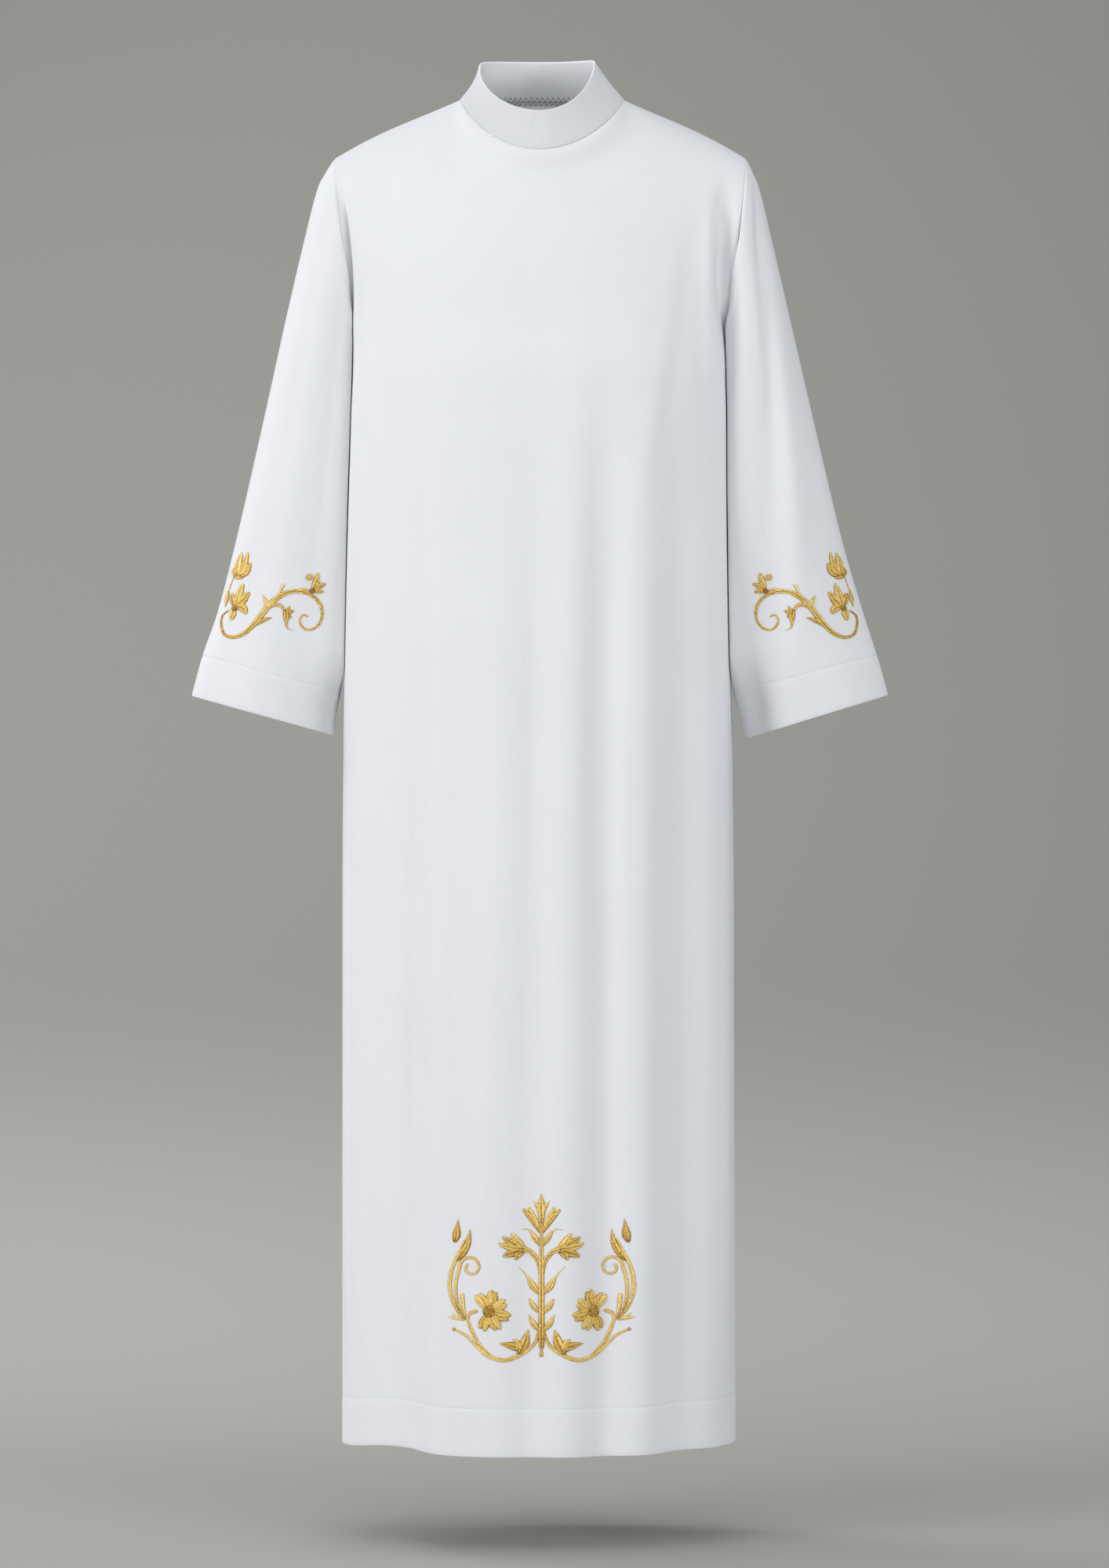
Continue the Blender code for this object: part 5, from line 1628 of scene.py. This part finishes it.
def gold_material(colours):
    """Gold thread between three colours, by each strand's tone, which carries painted shade and a painted
    highlight, and by the satin's streaks.
    """
    if "gold_thread" in bpy.data.materials:
        return bpy.data.materials["gold_thread"]
    material, tree, surface = new_material("gold_thread", GOLD_FINISH)
    satin = tree.nodes.new("ShaderNodeGroup")
    satin.node_tree = satin_thread_group()
    tree.links.new(cloth_place(tree), satin.inputs["Strand place"])
    streaks = math_node(tree, "MULTIPLY_ADD", satin.outputs["Streak"], *GOLD_STREAKS)
    streaked = math_node(tree, "ADD", painted(tree, "tone"), streaks)
    tint = two_tones(tree, streaked, colours.gold_light, colours.gold_dark)
    tint.color_ramp.elements.new(GOLD_MIDDLE).color = (*colours.gold, 1)
    tree.links.new(tint.outputs["Color"], surface.inputs["Base Color"])
    bump_into(tree, satin.outputs["Height"], surface, *GOLD_BUMP)
    return material


def stage_material(colours):
    """A plain pale sheet with painted light on the floor, so lighter there than on the wall, and clear from
    behind, where it would stand before the garment's back."""
    material, tree, surface = new_material("studio_sheet", STAGE_FINISH)
    place = tree.nodes.new("ShaderNodeTexCoord")
    height = parts_of(tree, place.outputs["Object"])["Z"]
    rise = math_node(tree, "MULTIPLY_ADD", height, FLOOR_FADE, FLOOR_FADE * FLOOR_DROP)
    tone = np.array(colours.stage)
    # Painted light: the floor is lighter than the wall, fading upwards
    tint = two_tones(tree, rise, tone * FLOOR_PAINTED_LIGHT, tone)
    tint.color_ramp.interpolation = "EASE"
    tree.links.new(tint.outputs["Color"], surface.inputs["Base Color"])
    facing = tree.nodes.new("ShaderNodeNewGeometry")
    from_front = math_node(tree, "SUBTRACT", 1.0, facing.outputs["Backfacing"])
    tree.links.new(from_front, surface.inputs["Alpha"])
    return material


# Stage

# Half the studio's width and the columns of its sheets, the depths of the level floor's rows, the wall's
# depth and height, the radius and rows of the bend before it, and the floor behind it: its depths and how
# much lower it lies
STUDIO_HALF_WIDTH = 9.0
STUDIO_COLUMNS = 19
FLOOR_DEPTHS = (-9.0, -4.0, -1.0, 0.4)
WALL_DEPTH = 3.4
WALL_HEIGHT = 9.0
WALL_BEND = 2.6
BEND_ROWS = 25
REAR_DEPTHS = (0.4, 14.0)
REAR_DROP = 0.004

# Each light: its place, where it is aimed, its width and height, its colour, and the name of its power
# among the stage's properties
StageLight = namedtuple("StageLight", "name place aim size colour power")
WHITE = (1, 1, 1)
STAGE_LIGHTS = (
    StageLight("key_light", (-4.2, -2.8, -0.1), (0, 0, -0.85), (2.0, 2.5), (1, 0.99, 0.98), "key"),
    StageLight("fill_light", (3.6, -3.8, 0.0), (0, 0, -0.85), (2.6, 2.5), (0.97, 0.98, 1), "fill"),
    StageLight("top_light", (-0.5, -1.6, 2.7), (0, 0, -0.9), (2.4, 1.6), WHITE, "top"),
    StageLight("backdrop_light", (-0.3, 1.5, 0.9), (-0.4, 3.4, -2.2), (2.2, 0.8), WHITE, "backdrop"),
    StageLight("back_light", (-2.3, 1.7, 1.0), (0, 0.1, -0.7), (1.2, 1.4), WHITE, "back"),
)
AIR_COLOUR = (0.95, 0.97, 1.0, 1)
CAMERA_PLACE = (0.0168, -6.0, -0.751)
SENSOR_WIDTH = 36
FAR_CLIP = 60


def studio_lines(floor):
    """The lines in y and z of the stage's two sheets: a level floor that turns up into an upright wall by a
    quarter turn of cosine and sine, and the level floor behind that wall, just lower."""
    angle = np.linspace(0, np.pi / 2, BEND_ROWS)
    turned_up = WALL_DEPTH - WALL_BEND + WALL_BEND * np.sin(angle)
    y = np.concatenate([FLOOR_DEPTHS, turned_up, [WALL_DEPTH]])
    rise = WALL_BEND * (1 - np.cos(angle))
    z = np.concatenate([np.zeros(len(FLOOR_DEPTHS)), rise, [WALL_HEIGHT]]) + floor
    behind = np.array(REAR_DEPTHS)
    return {"studio_sheet": (y, z), "studio_floor_behind": (behind, 0 * behind + floor - REAR_DROP)}


def studio_sheet(name, y, z):
    """A smooth sheet as wide as the studio, along this line in y and z."""
    x = np.linspace(-STUDIO_HALF_WIDTH, STUDIO_HALF_WIDTH, STUDIO_COLUMNS)
    grid = np.stack(np.broadcast_arrays(x[None, :], y[:, None], z[:, None]), axis=-1)
    index = np.arange(grid[..., 0].size).reshape(grid.shape[:2])
    faces = np.stack([index[:-1, :-1], index[:-1, 1:], index[1:, 1:], index[1:, :-1]], axis=-1)
    mesh = bpy.data.meshes.new(name)
    mesh.from_pydata(grid.reshape(-1, 3).tolist(), [], faces.reshape(-1, 4).tolist())
    mesh.shade_smooth()
    sheet = bpy.data.objects.new(name, mesh)
    bpy.context.scene.collection.objects.link(sheet)
    return sheet


def area_light(spot, power):
    """A rectangular light at its place, turned towards its aim and hidden from the camera."""
    light = bpy.data.lights.new(spot.name, "AREA")
    light.shape = "RECTANGLE"
    light.size, light.size_y = spot.size
    light.energy = power
    light.color = spot.colour
    lamp = bpy.data.objects.new(spot.name, light)
    lamp.location = spot.place
    towards = Vector(spot.aim) - Vector(spot.place)
    lamp.rotation_euler = towards.to_track_quat("-Z", "Y").to_euler()
    lamp.visible_camera = False
    bpy.context.scene.collection.objects.link(lamp)


def make_stage(scene):
    """The sheets of the stage, its lights and even air, and the camera square to the garment's front."""
    stage = scene.alb_stage
    material = stage_material(scene.alb_colours)
    for name, (y, z) in studio_lines(stage.floor).items():
        sheet = studio_sheet(name, y, z)
        sheet.data.materials.append(material)
    for spot in STAGE_LIGHTS:
        area_light(spot, getattr(stage, spot.power))
    world = bpy.data.worlds.new("studio") if scene.world is None else scene.world
    scene.world = world
    world.use_nodes = True
    background = world.node_tree.nodes["Background"]
    background.inputs["Color"].default_value = AIR_COLOUR
    background.inputs["Strength"].default_value = stage.air
    camera = bpy.data.cameras.new("camera")
    camera.sensor_width = SENSOR_WIDTH
    camera.lens = stage.lens
    camera.clip_end = FAR_CLIP
    view = bpy.data.objects.new("camera", camera)
    view.location = CAMERA_PLACE
    view.rotation_euler = (np.pi / 2, 0, 0)
    scene.collection.objects.link(view)
    scene.camera = view
    scene.view_settings.view_transform = "Standard"


# Sizes and colours

class AlbSizes(bpy.types.PropertyGroup):
    """Thicknesses of cloth and thread, and the lengths of stitches"""

    cloth: FloatProperty(
        name="Cloth", description="Thickness of the plain cloth",
        default=0.0009, unit="LENGTH", precision=5,
    )
    hem: FloatProperty(
        name="Hem", description="Thickness of the doubled hem",
        default=0.0021, unit="LENGTH", precision=5,
    )
    collar: FloatProperty(
        name="Collar", description="Thickness of the collar band",
        default=0.0023, unit="LENGTH", precision=5,
    )
    stitch: FloatProperty(
        name="Stitch", description="Length of one stitch",
        default=0.0026, unit="LENGTH", precision=5,
    )
    thread: FloatProperty(
        name="Thread", description="Thickness of the stitching thread",
        default=0.0004, unit="LENGTH", precision=5,
    )
    overlock: FloatProperty(
        name="Overlock", description="Length of one overlock stitch",
        default=0.0045, unit="LENGTH", precision=5,
    )
    relief: FloatProperty(
        name="Relief", description="How far the embroidery stands up",
        default=0.0015, unit="LENGTH", precision=5,
    )


class AlbColours(bpy.types.PropertyGroup):
    """Colours and tones of the cloth, the gold and the stage"""

    cloth: FloatVectorProperty(
        name="Cloth", description="White of the cloth",
        default=(0.82, 0.83, 0.86), subtype="COLOR", min=0, max=1,
    )
    # The collar's outside tone is painted shade, darker than the body's cloth; its inside and rim tone is
    # painted light, lighter than the body's cloth
    collar: FloatProperty(
        name="Collar tone", description="Tone of the collar's outside against the body",
        default=0.86, min=0, max=1,
    )
    collar_inside_painted_light: FloatProperty(
        name="Collar inside painted light", description="Tone of the collar's inside and rim",
        default=1.15, min=0, max=1.2,
    )
    # The light gold is also the painted highlight on the strands' backs, and the dark gold also the painted
    # shade along their edges, grooves and hollows
    gold_light: FloatVectorProperty(
        name="Light gold", description="Brightest thread",
        default=(1.0, 0.80, 0.32), subtype="COLOR", min=0, max=1,
    )
    gold: FloatVectorProperty(
        name="Gold", description="Middle tone of the thread",
        default=(0.80, 0.49, 0.085), subtype="COLOR", min=0, max=1,
    )
    gold_dark: FloatVectorProperty(
        name="Dark gold", description="Thread in the hearts and hollows",
        default=(0.20, 0.08, 0.010), subtype="COLOR", min=0, max=1,
    )
    stage: FloatVectorProperty(
        name="Stage", description="Tone of the floor and wall",
        default=(0.288, 0.286, 0.266), subtype="COLOR", min=0, max=1,
    )


class AlbStage(bpy.types.PropertyGroup):
    """Place of the floor, the lens and the power of the lights"""

    floor: FloatProperty(
        name="Floor", description="Height of the floor",
        default=-FLOOR_DROP, unit="LENGTH",
    )
    lens: FloatProperty(
        name="Lens", description="Focal length in millimetres",
        default=125.58, subtype="DISTANCE_CAMERA",
    )
    key: FloatProperty(
        name="Key light", description="Power from the left",
        default=110.0, unit="POWER",
    )
    fill: FloatProperty(
        name="Fill light", description="Power from the right",
        default=80.0, unit="POWER",
    )
    top: FloatProperty(
        name="Top light", description="Power from above",
        default=19.0, unit="POWER",
    )
    backdrop: FloatProperty(
        name="Backdrop light", description="Power on the sheet behind",
        default=12.0, unit="POWER",
    )
    back: FloatProperty(
        name="Back light", description="Power from behind on the left",
        default=27.0, unit="POWER",
    )
    air: FloatProperty(
        name="Air", description="Strength of the even light from all sides",
        default=0.55, min=0,
    )


# Operators

class ALB_OT_front_panel(bpy.types.Operator):
    """Hang the front panel, with its folds and turned-up hem"""

    bl_idname = "alb.front_panel"
    bl_label = "Front Panel"

    def execute(self, context):
        make_panel(context.scene, FRONT)
        return {"FINISHED"}


class ALB_OT_back_panel(bpy.types.Operator):
    """Hang the back panel, with its folds and turned-up hem"""

    bl_idname = "alb.back_panel"
    bl_label = "Back Panel"

    def execute(self, context):
        make_panel(context.scene, BACK)
        return {"FINISHED"}


class ALB_OT_sleeves(bpy.types.Operator):
    """Set both sleeves into their armholes"""

    bl_idname = "alb.sleeves"
    bl_label = "Sleeves"

    def execute(self, context):
        for arm in (RIGHT_ARM, LEFT_ARM):
            make_sleeve(context.scene, arm)
        return {"FINISHED"}


class ALB_OT_collar(bpy.types.Operator):
    """Stand the collar band on the neck seam"""

    bl_idname = "alb.collar"
    bl_label = "Collar"

    def execute(self, context):
        make_collar(context.scene)
        return {"FINISHED"}


class ALB_OT_underlap(bpy.types.Operator):
    """Lay the underlap behind the opening in the left shoulder seam"""

    bl_idname = "alb.underlap"
    bl_label = "Shoulder Underlap"

    def execute(self, context):
        make_underlap(context.scene)
        return {"FINISHED"}


class ALB_OT_stitching(bpy.types.Operator):
    """Stitch the hems, the cuffs and the collar"""

    bl_idname = "alb.stitching"
    bl_label = "Stitching"

    def execute(self, context):
        make_hem_stitching(context.scene)
        make_collar_stitching(context.scene)
        return {"FINISHED"}


class ALB_OT_embroidery(bpy.types.Operator):
    """Embroider the front of the hem and both cuffs"""

    bl_idname = "alb.embroidery"
    bl_label = "Embroidery"

    def execute(self, context):
        make_hem_embroidery(context.scene)
        for arm in (RIGHT_ARM, LEFT_ARM):
            make_cuff_embroidery(context.scene, arm)
        return {"FINISHED"}


class ALB_OT_stage(bpy.types.Operator):
    """Set the floor, the lights and the camera"""

    bl_idname = "alb.stage"
    bl_label = "Stage"

    def execute(self, context):
        make_stage(context.scene)
        return {"FINISHED"}


OPERATORS = (
    ALB_OT_front_panel,
    ALB_OT_back_panel,
    ALB_OT_sleeves,
    ALB_OT_collar,
    ALB_OT_underlap,
    ALB_OT_stitching,
    ALB_OT_embroidery,
    ALB_OT_stage,
)


class ALB_PT_panel(bpy.types.Panel):
    """Lists the alb's steps, sizes and colours"""

    bl_label = "Embroidered Alb"
    bl_idname = "ALB_PT_panel"
    bl_space_type = "VIEW_3D"
    bl_region_type = "UI"
    bl_category = "Alb"

    def draw(self, context):
        layout = self.layout
        for operator in OPERATORS:
            layout.operator(operator.bl_idname)
        for group in (context.scene.alb_sizes, context.scene.alb_colours, context.scene.alb_stage):
            box = layout.box()
            for name in group.bl_rna.properties.keys():
                if name not in {"rna_type", "name"}:
                    box.prop(group, name)


CLASSES = (AlbSizes, AlbColours, AlbStage, *OPERATORS, ALB_PT_panel)
GROUPS = {"alb_sizes": AlbSizes, "alb_colours": AlbColours, "alb_stage": AlbStage}


def register():
    """Makes the classes known and gives the scene its groups of sizes and colours."""
    for cls in CLASSES:
        bpy.utils.register_class(cls)
    for name, group in GROUPS.items():
        setattr(bpy.types.Scene, name, PointerProperty(type=group))


def unregister():
    """Takes both away again."""
    for name in GROUPS:
        delattr(bpy.types.Scene, name)
    for cls in reversed(CLASSES):
        bpy.utils.unregister_class(cls)


def main():
    """Makes every piece in order."""
    register()
    bpy.ops.alb.front_panel()
    bpy.ops.alb.back_panel()
    bpy.ops.alb.sleeves()
    bpy.ops.alb.collar()
    bpy.ops.alb.underlap()
    bpy.ops.alb.stitching()
    bpy.ops.alb.embroidery()
    bpy.ops.alb.stage()


if __name__ == "__main__":
    main()
